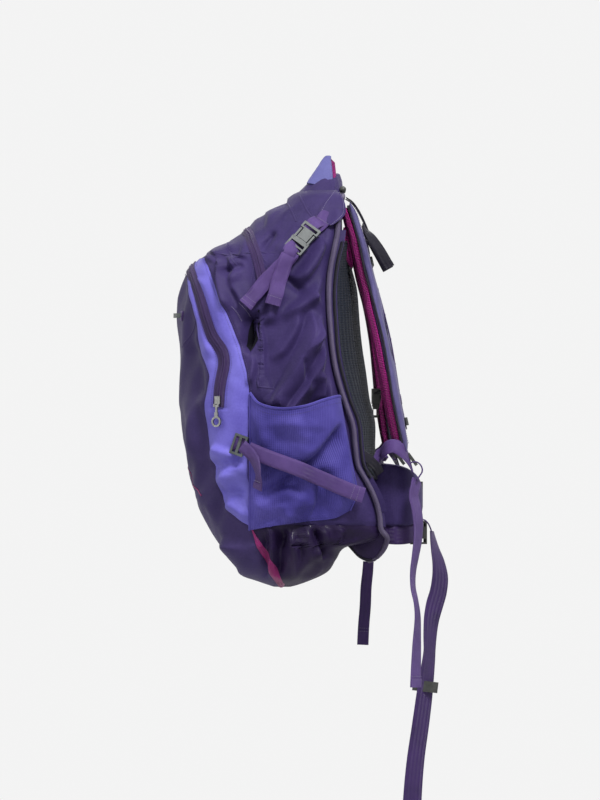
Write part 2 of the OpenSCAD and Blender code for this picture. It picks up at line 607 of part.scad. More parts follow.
// Hip belt wing: its middle line in plan, with its height at each place
WING = [[77, -84], [89, -85], [101, -78], [111, -62], [117, -42]];
WING_H = [1, 1, 0.96, 0.84, 0.62];
wing_mid_z = -441;
module wing() {
    p = [for (a = WING) [a[0], a[1], wing_mid_z]];
    last = len(p) - 1;
    dirs = [for (i = [0 : last]) unit(p[min(i + 1, last)] - p[max(i - 1, 0)])];
    n = [for (t = dirs) [t[1], -t[0], 0]];
    function row(h, i) = [for (s = [-0.5, -0.38, 0.38, 0.5])
        p[i] + n[i] * h * (abs(s) > 0.4 ? 0.5 : 1) + [0, 0, s * wing_h * WING_H[i]]];
    sheet([for (i = [0 : last]) row(wing_t / 2, i)], [for (i = [0 : last]) row(-wing_t / 2, i)]);
}
// Belt webbing along the foot of a wing
BELT = [[77, -84], [88, -84.5], [98, -80], [104, -75]];
belt_z = -490;
module belt_webbing() {
    p = [for (a = BELT) [a[0], a[1], belt_z]];
    last = len(p) - 1;
    n = [for (i = [0 : last]) let (t = unit(p[min(i + 1, last)] - p[max(i - 1, 0)])) [t[1], -t[0], 0]];
    color(webbing_c) ribbon(p, n, hip_webbing_w, webbing_t);
}
// Frame on the wing that carries the hip webbing
module wing_lock_right() {
    color(plastic_c) place([116, -54, -475], [0, 0, -1], [0.8, -0.6, 0]) ladder_lock(32, 30, 26.5);
}
module hip_socket() {
    color(plastic_c) translate([113, 4, -458]) difference() {
        cube([11, 32, 34]);
        translate([2.5, -1, 3]) cube([6, 24, 28]);
    }
}

// Free webbing, by the middle of its inner side
TAIL_RIGHT = [
    [114, -103, -421], [112, -106, -430], [110, -108, -442], [114, -108, -460], [116, -108, -480],
    [115, -108, -500], [112, -108, -520], [109, -108, -540], [109, -108, -560], [113, -108, -580],
    [115, -108, -600], [114, -108, -630], [113, -108, -660], [112, -108, -690]
];
HIP = [
    [134, -62, -488], [136, -63, -500], [139, -64, -514], [143, -64, -530], [145, -64, -548],
    [143, -64, -566], [138, -64, -584], [134, -64, -602], [132, -64, -622], [131, -64, -645],
    [129, -64, -665], [126, -64, -690], [123, -64, -715], [119, -64, -745], [114, -64, -780],
    [111, -64, -810], [109, -64, -840], [108, -64, -862]
];
REAR_TAIL = [
    [53, 84, -530], [52, 84, -545], [50, 84, -565], [49, 84, -590], [47, 84, -615], [46, 84, -640]
];
rear_tail_w = 15;
facing_side = [0, -1, 0];
module free_webbing(route, w, t, k) {
    p = smooth(route, k);
    ribbon(p, [for (a = p) facing_side], w, t);
}
module adjuster_tail_right() { color([0.44, 0.32, 0.6]) free_webbing(TAIL_RIGHT, webbing_w, webbing_t, 2); }
module rear_tail() { color(plum_c) free_webbing(REAR_TAIL, rear_tail_w, webbing_t, 2); }
module hip_webbing() { color([0.3, 0.2, 0.46]) free_webbing(HIP, hip_webbing_w, webbing_t, 2); }
module hip_plug() {
    color(plastic_c) translate([108, -67.4, -864]) rotate([0, 90, 0]) difference() {
        translate([0, 0, -18]) cube([40, 6, 36]);
        translate([3, -1, -13]) cube([4, 8, 26]);
        for (s = [-1, 1]) translate([14, -1, s * 9 - 3]) cube([18, 8, 6]);
    }
}
module hip_triglide() {
    color(plastic_c) place([126.2, -64.8, -690], [3, 0, 25], [0, -1, 0]) difference() {
        translate([-7, -16.5, -3]) cube([14, 33, 6]);
        translate([-8, -14, -1.4]) cube([16, 28, 2.8]);
    }
}

back_panel();
side_panel();  // side_panel_right
mirror([0, 1, 0]) side_panel();  // side_panel_left
front_gusset();  // front_gusset_right
mirror([0, 1, 0]) front_gusset();  // front_gusset_left
front_panel();
top_panel();
bottom_panel();
side_pocket();  // side_pocket_right
mirror([0, 1, 0]) side_pocket();  // side_pocket_left
front_zip_tape();
main_zip_tape();
haul_loop();
stabiliser_wings();
frame_wire();
frame_sheet();
hydration_sleeve();
edge_binding();
back_mesh();
lumbar_pad();
shoulder_yoke();
upper_anchors();
upper_webbing();
lower_webbing();
ladder_locks();
buckle_sockets();
buckle_plugs();
buckle_arm_at(-1);  // arm_right_front
buckle_arm_at(1);  // arm_right_rear
mirror([0, 1, 0]) buckle_arm_at(-1);  // arm_left_front
mirror([0, 1, 0]) buckle_arm_at(1);  // arm_left_rear
gear_tab();
gear_hook();
zip_slider();
zip_pull();
mirror([0, 1, 0]) main_zip_slider();
mirror([0, 1, 0]) main_zip_pull();
strap(0);  // strap_right
strap_lining(0);  // strap_lining_right
strap_lock(0);  // strap_lock_right
load_lifter();  // load_lifter_right
adjuster(0);  // adjuster_right
adjuster_tail_right();
mirror([0, 1, 0]) strap(1);  // strap_left
mirror([0, 1, 0]) strap_lining(1);  // strap_lining_left
mirror([0, 1, 0]) strap_lock(1);  // strap_lock_left
mirror([0, 1, 0]) load_lifter();  // load_lifter_left
mirror([0, 1, 0]) adjuster(1);  // adjuster_left
sternum_fitting(58, -58, -322, true);  // sternum_right
sternum_fitting(57, 50, -322, false);  // sternum_left
color(dark_c) wing();  // wing_right
color(dark_c) mirror([0, 1, 0]) wing();  // wing_left
belt_webbing();  // belt_webbing_right
mirror([0, 1, 0]) belt_webbing();  // belt_webbing_left
wing_lock_right();
hip_socket();
hip_webbing();
hip_plug();
hip_triglide();
rear_tail();
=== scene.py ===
import math

import bmesh
import bpy
import numpy as np
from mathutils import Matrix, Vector, noise


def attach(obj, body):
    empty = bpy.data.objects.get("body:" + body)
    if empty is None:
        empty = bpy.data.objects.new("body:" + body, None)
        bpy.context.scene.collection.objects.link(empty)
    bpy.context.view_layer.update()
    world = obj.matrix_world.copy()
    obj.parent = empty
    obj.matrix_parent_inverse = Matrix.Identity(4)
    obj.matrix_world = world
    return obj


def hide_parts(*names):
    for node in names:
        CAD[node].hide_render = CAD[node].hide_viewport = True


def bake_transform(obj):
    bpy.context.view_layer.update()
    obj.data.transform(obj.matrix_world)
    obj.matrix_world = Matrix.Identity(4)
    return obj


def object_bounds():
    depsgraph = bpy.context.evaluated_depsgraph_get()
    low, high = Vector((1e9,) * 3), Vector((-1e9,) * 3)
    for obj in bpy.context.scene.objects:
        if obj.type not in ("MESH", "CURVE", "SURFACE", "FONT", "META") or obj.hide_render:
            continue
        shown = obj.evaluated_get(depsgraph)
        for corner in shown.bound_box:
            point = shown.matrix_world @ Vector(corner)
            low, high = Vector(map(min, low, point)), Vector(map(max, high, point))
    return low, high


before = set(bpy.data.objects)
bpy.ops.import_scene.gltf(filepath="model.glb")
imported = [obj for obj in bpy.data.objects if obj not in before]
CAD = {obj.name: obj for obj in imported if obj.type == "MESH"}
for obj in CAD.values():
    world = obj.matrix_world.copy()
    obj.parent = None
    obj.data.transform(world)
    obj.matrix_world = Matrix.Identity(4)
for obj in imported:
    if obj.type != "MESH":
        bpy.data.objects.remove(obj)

cad_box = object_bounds()
MM = 0.001

# ---- the bag's form, in mm, by depth below the loop
FRONT_X = [
    (40, -14), (44, -36), (60, -58), (72, -86), (92, -103), (108, -124), (125, -151), (140, -175),
    (155, -186), (186, -194), (212, -197), (245, -194), (291, -194), (324, -193), (376, -186),
    (415, -177), (448, -169), (487, -151), (516, -131), (540, -110), (555, -86), (563, -66)]
REAR_X = [
    (40, 6), (44, 12), (77, 12), (107, 11), (136, 6), (172, 3), (219, 5), (266, 10), (312, 22),
    (347, 35), (382, 39), (402, 42), (427, 56), (449, 66), (473, 71), (496, 69), (503, 50),
    (508, 22), (524, 9), (542, -4), (557, -37), (563, -58)]
HALF_W = [
    (40, 14), (44, 56), (60, 78), (80, 94), (107, 108), (136, 119), (186, 131), (245, 139),
    (324, 144), (400, 144), (450, 141), (487, 135), (516, 123), (540, 103), (555, 72), (563, 26)]
ZIP_X = [
    (128, -168), (150, -176.5), (155, -175), (181, -166), (212, -157), (237, -148), (253, -137),
    (270, -134), (286, -137), (304, -140), (325, -141), (409, -148), (455, -135), (485, -104)]
FRONT_EDGE_X = [
    (150, -183), (173, -179.5), (195, -174), (219, -169), (245, -165), (262, -161), (280, -154),
                (288, -152),
    (306, -156), (328, -158.5), (350, -158.5), (380, -156), (402, -152), (428, -145), (455, -133.5),
                (472, -115),
    (483, -99)]
GUSSET_X = [(128, -150), (140, -157), (237, -120), (300, -104), (440, -102), (485, -70)]
PIPING_X = [(478, -103), (490, -98), (510, -92), (530, -84), (550, -72), (563, -62)]
POCKET_TOP = [(0, 308), (0.1, 321), (0.3, 328), (0.5, 325), (0.7, 316), (0.9, 312), (1, 316)]
POCKET_BOTTOM = [(0, 486), (0.25, 480), (0.6, 474), (0.85, 470), (1, 460)]
POCKET_REAR = [(0, 12), (0.3, 20), (0.6, 28), (0.85, 34), (1, 26)]
POCKET_FRONT_X = -101
FRONT_ROUND, REAR_SQUARE = 2.4, 7.0
PANEL_T = 1.6
TOP_SEAM, POCKET_SEAM, BOTTOM_SEAM = 130.0, 150.0, 480.0
REAR_U = 42.0


def curve(table, key):
    """Catmull-Rom value of a table of (key, value) at a key."""
    t = np.array(table, float)
    key = np.asarray(key, float)
    k = np.clip(np.searchsorted(t[:, 0], key, side="right") - 1, 0, len(t) - 2)
    ends = np.arange(len(t))
    a, b = np.maximum(ends - 1, 0), np.minimum(ends + 1, len(t) - 1)
    slope = (t[b, 1] - t[a, 1]) / (t[b, 0] - t[a, 0])
    h = t[k + 1, 0] - t[k, 0]
    s = (key - t[k, 0]) / h
    return ((2 * s**3 - 3 * s**2 + 1) * t[k, 1] + (s**3 - 2 * s**2 + s) * h * slope[k]
            + (3 * s**2 - 2 * s**3) * t[k + 1, 1] + (s**3 - s**2) * h * slope[k + 1])


def skin(d, u, off=0.0):
    """Point of the bag's form at depth d and angle u from the rear by the right side."""
    d, u = np.broadcast_arrays(np.asarray(d, float), np.asarray(u, float))
    c, s = np.cos(np.radians(u)), np.sin(np.radians(u))
    e = 2 / np.where(c > 0, REAR_SQUARE, FRONT_ROUND)
    front, rear = curve(FRONT_X, d), curve(REAR_X, d)
    x = (front + rear) / 2 + ((rear - front) / 2 + off) * np.sign(c) * np.abs(c) ** e
    y = -(curve(HALF_W, d) + off) * np.sign(s) * np.abs(s) ** e
    return np.stack([x, y, -d], -1)


def angle_at(x, d):
    front, rear = curve(FRONT_X, d), curve(REAR_X, d)
    c = np.clip((x - (front + rear) / 2) / ((rear - front) / 2), -1, 1)
    return np.degrees(np.arccos(np.sign(c) * np.abs(c) ** (np.where(c > 0, REAR_SQUARE, FRONT_ROUND) / 2)))


def unit(v):
    return v / np.maximum(np.linalg.norm(v, axis=-1, keepdims=True), 1e-9)


def run_of(points):
    """Distance along a line of points, at each of them."""
    return np.concatenate([[0], np.cumsum(np.linalg.norm(np.diff(points, axis=0), axis=1))])


# Share of the way round the bag, by angle, measured on one section
ROUND_U = np.linspace(0, 360, 2881)
_ring = skin(300.0, ROUND_U)
ROUND_MM = run_of(_ring)
ROUND = ROUND_MM[-1]


def way_of(u):
    return np.interp(u, ROUND_U, ROUND_MM / ROUND)


def angle_of(way):
    return np.interp(way, ROUND_MM / ROUND, ROUND_U)


# ---- small tools for meshes
def smooth(points, k):
    """Catmull-Rom points through a list of points, k to each step, as the CAD source makes them."""
    p = np.array(points, float)
    n = len(p) - 1
    s = (np.arange(k) / k)[:, None]
    rows = []
    for i in range(n):
        a, b, c, d = p[max(i - 1, 0)], p[i], p[i + 1], p[min(i + 2, n)]
        rows.append(0.5 * (2 * b + (c - a) * s + (2 * a - 5 * b + 4 * c - d) * s**2
                           + (3 * b - a - 3 * c + d) * s**3))
    return np.vstack(rows + [p[-1:]])


def even(points, step):
    """A polyline's points spaced evenly, about step apart."""
    p = np.asarray(points, float)
    along = run_of(p)
    at = np.linspace(0, along[-1], max(2, int(round(along[-1] / step)) + 1))
    return np.stack([np.interp(at, along, p[:, k]) for k in range(p.shape[1])], 1)


def tangents(p):
    t = np.empty_like(p)
    t[1:-1] = p[2:] - p[:-2]
    t[0], t[-1] = p[1] - p[0], p[-1] - p[-2]
    return unit(t)


def mesh_piece(name, parts, material, body, replaces=(), flat=False):
    """One object from parts, each (verts in mm, faces, uv in metres), riding on a body."""
    verts, faces, uvs, start = [], [], [], 0
    for v, f, uv in parts:
        verts.append(v)
        uvs.append(uv)
        faces += [[i + start for i in face] for face in f]
        start += len(v)
    me = bpy.data.meshes.new(name)
    me.from_pydata((np.vstack(verts) * MM).tolist(), [], faces)
    uv = np.vstack(uvs)
    loops = np.empty(len(me.loops), int)
    me.loops.foreach_get("vertex_index", loops)
    layer = me.uv_layers.new(name="cloth")
    layer.data.foreach_set("uv", uv[loops].astype(np.float32).ravel())
    bm = bmesh.new()
    bm.from_mesh(me)
    bmesh.ops.recalc_face_normals(bm, faces=bm.faces)
    bm.to_mesh(me)
    bm.free()
    if not flat:
        me.shade_smooth()
        me.set_sharp_from_angle(angle=math.radians(62))
    me.materials.append(material)
    ob = bpy.data.objects.new(name, me)
    bpy.context.scene.collection.objects.link(ob)
    if body:
        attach(ob, body)
    if replaces:
        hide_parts(*replaces)
    return ob


def closed_sheet(outer, inner, uv=None):
    """Verts, faces and uv of the solid between two grids of points."""
    r, c = outer.shape[:2]
    n = r * c
    at = np.arange(n).reshape(r, c)
    q = np.stack([at[:-1, :-1], at[1:, :-1], at[1:, 1:], at[:-1, 1:]], -1).reshape(-1, 4)
    rim = np.concatenate([at[0, :-1], at[:-1, -1], at[-1, :0:-1], at[:0:-1, 0]])
    nxt = np.roll(rim, -1)
    sides = np.stack([rim, nxt, nxt + n, rim + n], -1)
    faces = np.concatenate([q, q[:, ::-1] + n, sides]).tolist()
    if uv is None:
        across = np.linalg.norm(np.diff(outer, axis=1), axis=2).mean(0).cumsum()
        down = np.linalg.norm(np.diff(outer, axis=0), axis=2).mean(1).cumsum()
        uv = np.stack(np.meshgrid(np.concatenate([[0], across]), np.concatenate([[0], down])), -1) * MM
    uv = np.concatenate([uv.reshape(-1, 2)] * 2)
    return np.concatenate([outer.reshape(-1, 3), inner.reshape(-1, 3)]), faces, uv


def tube_solid(rings, girth_line, length_line):
    """Verts, faces and uv of the closed solid through rings of points."""
    n, m = rings.shape[:2]
    i, j = np.arange(n - 1)[:, None] * m, np.arange(m)
    k = (j + 1) % m
    faces = np.stack([i + j, i + k, i + m + k, i + m + j], -1).reshape(-1, 4).tolist()
    faces += [list(range(m))[::-1], list(range((n - 1) * m, n * m))]
    girth, along = run_of(girth_line), run_of(length_line)
    uv = np.stack(np.broadcast_arrays(girth[None, :], along[:, None]), -1).reshape(-1, 2) * MM
    return rings.reshape(-1, 3), faces, uv


def sweep(points, normals, profile):
    """Solid swept along points: the profile's first number goes across, its second along the normal."""
    p = np.asarray(points, float)
    t = tangents(p)
    side = unit(np.cross(t, np.broadcast_to(normals, p.shape)))
    up = np.cross(side, t)
    prof = np.asarray(profile, float)
    if prof.ndim == 2:
        prof = np.broadcast_to(prof, (len(p),) + prof.shape)
    ring = p[:, None] + side[:, None] * prof[..., :1] + up[:, None] * prof[..., 1:]
    return tube_solid(ring, prof[0], p)


def tape_profile(w, t, crown=0.12):
    """Outline of flat webbing: rounded edges and a faint crown. It lies on its inner face."""
    x = np.array([-0.5, -0.47, -0.25, 0, 0.25, 0.47, 0.5]) * w
    top = t * np.array([0.5, 1, 1 + crown, 1 + crown, 1 + crown, 1, 0.5])
    low = t * np.array([0, 0, 0, 0, 0])
    return np.concatenate([np.stack([x, top], 1), np.stack([x[5:0:-1], low], 1)])


def circle_angles(n):
    return np.linspace(0, 2 * math.pi, n, endpoint=False)


def round_profile(r, sides=10, up=0.0, squash=1.0):
    a = circle_angles(sides)
    return np.stack([r * np.cos(a), r * squash * np.sin(a) + up], 1)


def webbing(points, normals, w, t, step=2.5):
    """Webbing along dense points, with a normal for each point or one for all."""
    p = np.asarray(points, float)
    n = np.broadcast_to(np.asarray(normals, float), p.shape)
    both = even(np.hstack([p, n * 1e-6]), step)
    q = both[:, :3]
    return sweep(q, unit(both[:, 3:] * 1e6), tape_profile(w, t))


def dashes(points, normals, pitch=3.2, length=2.2, r=0.3, lift=0.15):
    """A row of stitches along points: one small spindle for each stitch."""
    q = even(np.hstack([np.asarray(points, float), np.broadcast_to(normals, np.shape(points)) * 1e-6]),
             pitch)
    p, n = q[:, :3], unit(q[:, 3:] * 1e6)
    t = tangents(p)
    side = unit(np.cross(t, n))
    n = np.cross(side, t)
    ends = np.array([(-0.5, 0.0), (-0.36, 0.8), (0, 1.0), (0.36, 0.8), (0.5, 0.0)])
    a = circle_angles(5)
    verts, faces = [], []
    for k in range(len(p)):
        base = k * 17
        c = p[k] + n[k] * lift
        verts.append(c + t[k] * length * -0.5)
        for e, f in ends[1:-1]:
            for b in a:
                verts.append(c + t[k] * length * e + r * f * (side[k] * math.cos(b) + n[k] * math.sin(b)))
        verts.append(c + t[k] * length * 0.5)
        for j in range(5):
            m = (j + 1) % 5
            faces.append([base, base + 1 + m, base + 1 + j])
            for g in range(2):
                o = base + 1 + g * 5
                faces.append([o + j, o + m, o + 5 + m, o + 5 + j])
            faces.append([base + 16, base + 11 + j, base + 11 + m])
    verts = np.array(verts)
    return verts, faces, np.zeros((len(verts), 2))


def cross_rows(p, n, w, at, lift):
    """A short line of stitches across webbing at the point numbered at."""
    t = tangents(p)[at]
    side = unit(np.cross(t, n[at]))
    ends = np.array([p[at] + side * w * s + n[at] * lift for s in (-0.42, 0, 0.42)])
    return dashes(ends, np.repeat(n[at][None], 3, 0), 2.3, 1.7, 0.28, 0.1)


def folded_end(p, n, w, t, length=16):
    """The turned-back end of webbing: a second layer with a round fold, on top of the last stretch."""
    k = max(3, int(length / 2.5))
    q, m = p[-k:] + n[-k:] * t, n[-k:]
    return sweep(q, m, tape_profile(w, t))


# ---- materials
LIGHT_GAIN = 1.6  # how much brighter the studio shows a surface than its own colour


def linear(r, g, b):
    """Base colour that shows as this sRGB colour in the studio's light."""
    return tuple((((c / 255 + 0.055) / 1.055) ** 2.4 if c > 10 else c / 255 / 12.92) / LIGHT_GAIN
                 for c in (r, g, b)) + (1,)


class Shader:
    """A material's nodes, with short ways to add and join them."""

    def __init__(self, name, rough, sheen=0.0, metal=0.0, coat=0.0, specular=0.16):
        self.m = bpy.data.materials.new(name)
        self.m.use_nodes = True
        self.t = self.m.node_tree
        self.b = self.t.nodes["Principled BSDF"]
        for socket, value in (("Roughness", rough), ("Sheen Weight", sheen), ("Metallic", metal),
                              ("Coat Weight", coat), ("Specular IOR Level", specular)):
            self.b.inputs[socket].default_value = value
        self.b.inputs["Sheen Roughness"].default_value = 0.45

    def add(self, kind, **values):
        n = self.t.nodes.new("ShaderNode" + kind)
        for k, v in values.items():
            if hasattr(n, k):
                setattr(n, k, v)
            else:
                n.inputs[k.replace("_", " ")].default_value = v
        return n

    def link(self, a, b):
        self.t.links.new(a, b)

    def place(self, kind, scale=(1, 1, 1)):
        """Coordinates in metres times scale: the cloth's own, or the object's."""
        if kind == "cloth":
            c = self.add("UVMap", uv_map="cloth").outputs[0]
        else:
            c = self.add("TexCoord").outputs["Object"]
        m = self.add("Mapping")
        m.inputs["Scale"].default_value = scale
        self.link(c, m.inputs[0])
        return m.outputs[0]

    def math(self, op, a, b=0.5, clamp=False):
        n = self.add("Math", operation=op, use_clamp=clamp)
        for i, v in enumerate((a, b)):
            if isinstance(v, (int, float)):
                n.inputs[i].default_value = v
            else:
                self.link(v, n.inputs[i])
        return n.outputs[0]

    def scaled(self, a, by, plus):
        """a times by, plus plus."""
        return self.math("ADD", self.math("MULTIPLY", a, by), plus)

    def noise(self, where, scale, detail=2.0, rough=0.5):
        n = self.add("TexNoise", Scale=scale, Detail=detail, Roughness=rough)
        self.link(where, n.inputs["Vector"])
        return n.outputs["Fac"]

    def wave(self, where, scale, axis="X", profile="SIN", distortion=0.0):
        n = self.add("TexWave", bands_direction=axis, wave_profile=profile, Scale=scale,
                     Distortion=distortion)
        self.link(where, n.inputs["Vector"])
        return n.outputs["Fac"]

    def ramp(self, fac, stops):
        n = self.add("ValToRGB")
        while len(n.color_ramp.elements) < len(stops):
            n.color_ramp.elements.new(0.5)
        for e, (at, colour) in zip(n.color_ramp.elements, stops):
            e.position, e.color = at, colour
        self.link(fac, n.inputs[0])
        return n.outputs[0]

    def mix(self, fac, a, b, kind="MIX"):
        n = self.add("Mix", data_type="RGBA", blend_type=kind)
        for s, v in ((n.inputs[0], fac), (n.inputs[6], a), (n.inputs[7], b)):
            if isinstance(v, (int, float, tuple)):
                s.default_value = v
            else:
                self.link(v, s)
        return n.outputs[2]

    def finish(self, colour, height=None, depth=0.0003, rough=None):
        self.link(colour, self.b.inputs["Base Color"])
        if height is not None:
            n = self.add("Bump", Strength=1.0, Distance=depth)
            self.link(height, n.inputs["Height"])
            self.link(n.outputs[0], self.b.inputs["Normal"])
        if rough is not None:
            self.link(rough, self.b.inputs["Roughness"])
        return self.m


def woven(name, light, dark, rough=0.6, sheen=0.05, thread=0.9, depth=0.00012, gloss=0.0):
    """Plain-woven pack cloth: crossing threads, a faint slub, worn lighter patches."""
    s = Shader(name, rough, sheen, coat=gloss)
    cloth = s.place("cloth")
    warp = s.wave(cloth, 1000 / thread / math.tau, "X")
    weft = s.wave(cloth, 1000 / thread / math.tau, "Y")
    weave = s.math("MULTIPLY", warp, weft)
    slub = s.noise(s.place("cloth", (60, 900, 1)), 1.0, 2)
    cloudy = s.noise(s.place("object"), 16, 4, 0.6)
    fine = s.noise(s.place("object"), 420, 2)
    tone = s.math("ADD", s.math("MULTIPLY", cloudy, 0.75), s.math("MULTIPLY", fine, 0.25))
    colour = s.ramp(tone, [(0.33, dark), (0.66, light)])
    # painted highlight: where the weave's bump is high, on the thread crowns, the colour is mixed towards
    # the light one
    colour = s.mix(s.math("MULTIPLY", weave, 0.25), colour, light)
    height = s.math("ADD", weave, s.math("MULTIPLY", slub, 0.8))
    roughness = s.scaled(cloudy, 0.16, rough - 0.08)
    return s.finish(colour, height, depth, roughness)


def ribbed(name, light, dark, pitch=1.3, rough=0.6):
    """Stretch knit with fine upright ribs."""
    s = Shader(name, rough, 0.05)
    cloth = s.place("cloth")
    rib = s.wave(cloth, 1000 / pitch / math.tau, "X")
    stitch = s.wave(cloth, 1000 / 1.6 / math.tau, "Y")
    cloudy = s.noise(s.place("object"), 14, 4, 0.6)
    colour = s.ramp(cloudy, [(0.35, dark), (0.66, light)])
    # painted shade: the rib valleys, low in the bump, are mixed towards the dark colour
    colour = s.mix(s.math("MULTIPLY", s.math("SUBTRACT", 1.0, rib), 0.38), colour, dark)
    height = s.math("ADD", rib, s.math("MULTIPLY", stitch, 0.25))
    return s.finish(colour, height, 0.0004)


def strap_weave(name, light, dark, rough=0.5):
    """Webbing: a herringbone of fine ribs across, with smooth woven edges."""
    s = Shader(name, rough, 0.04, specular=0.3)
    cloth = s.place("cloth")
    parts = s.add("SeparateXYZ")
    s.link(cloth, parts.inputs[0])
    zig = s.math("PINGPONG", parts.outputs[0], 0.0025)
    lean = s.scaled(zig, 0.9, parts.outputs[1])
    rib = s.math("SINE", s.math("MULTIPLY", lean, math.tau / 0.0014))
    cloudy = s.noise(s.place("object"), 30, 3, 0.6)
    colour = s.ramp(cloudy, [(0.32, dark), (0.68, light)])
    # painted highlight: the rib crests, high in the bump, are mixed towards the light colour
    colour = s.mix(s.math("MULTIPLY", s.math("ADD", rib, 1.0), 0.14), colour, light)
    return s.finish(colour, rib, 0.00016)


def airmesh(name, light, dark, pitch=4.2, depth=0.0012, rough=0.75):
    """Spacer mesh: diamond holes that sink into the pad."""
    s = Shader(name, rough, 0.05)
    where = s.place("cloth")
    parts = s.add("SeparateXYZ")
    s.link(where, parts.inputs[0])
    k = math.tau / (pitch * MM)
    a = s.math("SINE", s.math("MULTIPLY", s.math("ADD", parts.outputs[0], parts.outputs[1]), k / 1.4))
    b = s.math("SINE", s.math("MULTIPLY", s.math("SUBTRACT", parts.outputs[0], parts.outputs[1]), k / 1.4))
    hole = s.math("MULTIPLY", a, b)
    open_ = s.math("SMOOTH_MIN", s.math("MULTIPLY", s.math("ADD", hole, 0.35), 1.6), 1.0)
    knit = s.noise(s.place("object"), 900, 2)
    # painted shade: the holes, low in the bump, take the dark colour
    colour = s.ramp(open_, [(0.05, dark), (0.6, light)])
    colour = s.mix(s.math("MULTIPLY", knit, 0.3), colour, light)
    return s.finish(colour, s.math("ADD", open_, s.math("MULTIPLY", knit, 0.2)), depth)


def moulded(name, light, dark, rough=0.42):
    """Moulded plastic with a fine grain and scuffs."""
    s = Shader(name, rough, 0.0, specular=0.5)
    where = s.place("object")
    grain = s.noise(where, 1600, 2)
    scuff = s.noise(where, 120, 5, 0.7)
    colour = s.ramp(scuff, [(0.35, dark), (0.7, light)])
    rough_at = s.scaled(scuff, 0.3, rough - 0.12)
    return s.finish(colour, grain, 0.00008, rough_at)


def metal(name, light, dark, rough=0.3):
    """Worn metal with fine scuffs."""
    s = Shader(name, rough, 0.0, metal=1.0)
    where = s.place("object")
    scuff = s.noise(where, 260, 4, 0.65)
    colour = s.ramp(scuff, [(0.3, dark), (0.7, light)])
    return s.finish(colour, s.noise(where, 900, 2), 0.00006, s.scaled(scuff, 0.3, rough - 0.1))


DARK = woven("dark_cloth", linear(71, 56, 114), linear(48, 36, 86))
SHADE = woven("shade_cloth", linear(76, 62, 116), linear(56, 44, 94))
LAVENDER = woven("lavender_cloth", linear(136, 128, 234), linear(112, 102, 206), 0.5, 0.05)
LOOP_CLOTH = woven("loop_cloth", linear(112, 112, 176), linear(94, 92, 154))
PLUM = woven("plum_cloth", linear(46, 27, 76), linear(28, 15, 50), 0.55, 0.02, 1.1, 0.0001, 0.05)
STRETCH = ribbed("stretch_knit", linear(106, 96, 196), linear(68, 60, 146))
WEBBING = strap_weave("webbing", linear(104, 76, 148), linear(84, 58, 126))
TAPE = strap_weave("zip_tape", linear(70, 44, 104), linear(52, 32, 84), 0.55)
DEEP_WEBBING = strap_weave("dark_webbing", linear(72, 44, 112), linear(54, 32, 90))
INK_WEBBING = strap_weave("ink_webbing", linear(26, 20, 44), linear(16, 12, 30))
# painted shadow: near-black cloth for the sheet in the mouth of the big fold
FOLD_SHADOW_CLOTH = woven("painted_fold_shadow", linear(16, 12, 30), linear(9, 7, 18), 0.75, 0.02)
PLASTIC = moulded("grey_plastic", linear(108, 114, 114), linear(76, 82, 82))
INK_PLASTIC = moulded("dark_plastic", linear(74, 76, 74), linear(48, 50, 48))
STEEL = metal("steel", (0.3, 0.3, 0.3, 1), (0.16, 0.16, 0.155, 1))
MAGENTA = airmesh("magenta_mesh", linear(196, 44, 152), linear(110, 16, 84), 3.0)
BACK_NET = airmesh("back_net", linear(44, 52, 70), linear(12, 14, 26), 3.2, 0.0008, 0.6)
BINDING = strap_weave("edge_tape", linear(112, 100, 134), linear(88, 76, 110), 0.6)
STRAP_SHELL = woven("strap_shell", linear(106, 98, 150), linear(80, 74, 124))
PIPING = strap_weave("piping", linear(176, 44, 132), linear(140, 26, 102), 0.45)
THREAD = woven("thread", linear(176, 168, 196), linear(140, 132, 164), 0.6)
DIM_THREAD = woven("dim_thread", linear(104, 92, 146), linear(80, 68, 120), 0.6)
WHITE_SHEET = moulded("frame_board", linear(226, 226, 220), linear(206, 206, 200), 0.5)


# ---- camera, lights and floor
FLOOR_GAP = 0.22  # from the lowest point down to the floor


def make_camera():
    data = bpy.data.cameras.new("camera")
    data.lens, data.sensor_width = 400, 36
    view_h = 1.048
    cam = bpy.data.objects.new("camera", data)
    cam.location = (-0.037, -view_h * data.lens / data.sensor_width, -0.317)
    cam.rotation_euler = (math.pi / 2, 0, 0)
    data.clip_end = 50
    bpy.context.scene.collection.objects.link(cam)
    bpy.context.scene.camera = cam


def lamp(name, place, target, size, power):
    data = bpy.data.lights.new(name, "AREA")
    data.shape, data.size, data.energy = "DISK", size, power
    ob = bpy.data.objects.new(name, data)
    ob.location = place
    ob.rotation_euler = (Vector(target) - Vector(place)).to_track_quat("-Z", "Y").to_euler()
    bpy.context.scene.collection.objects.link(ob)


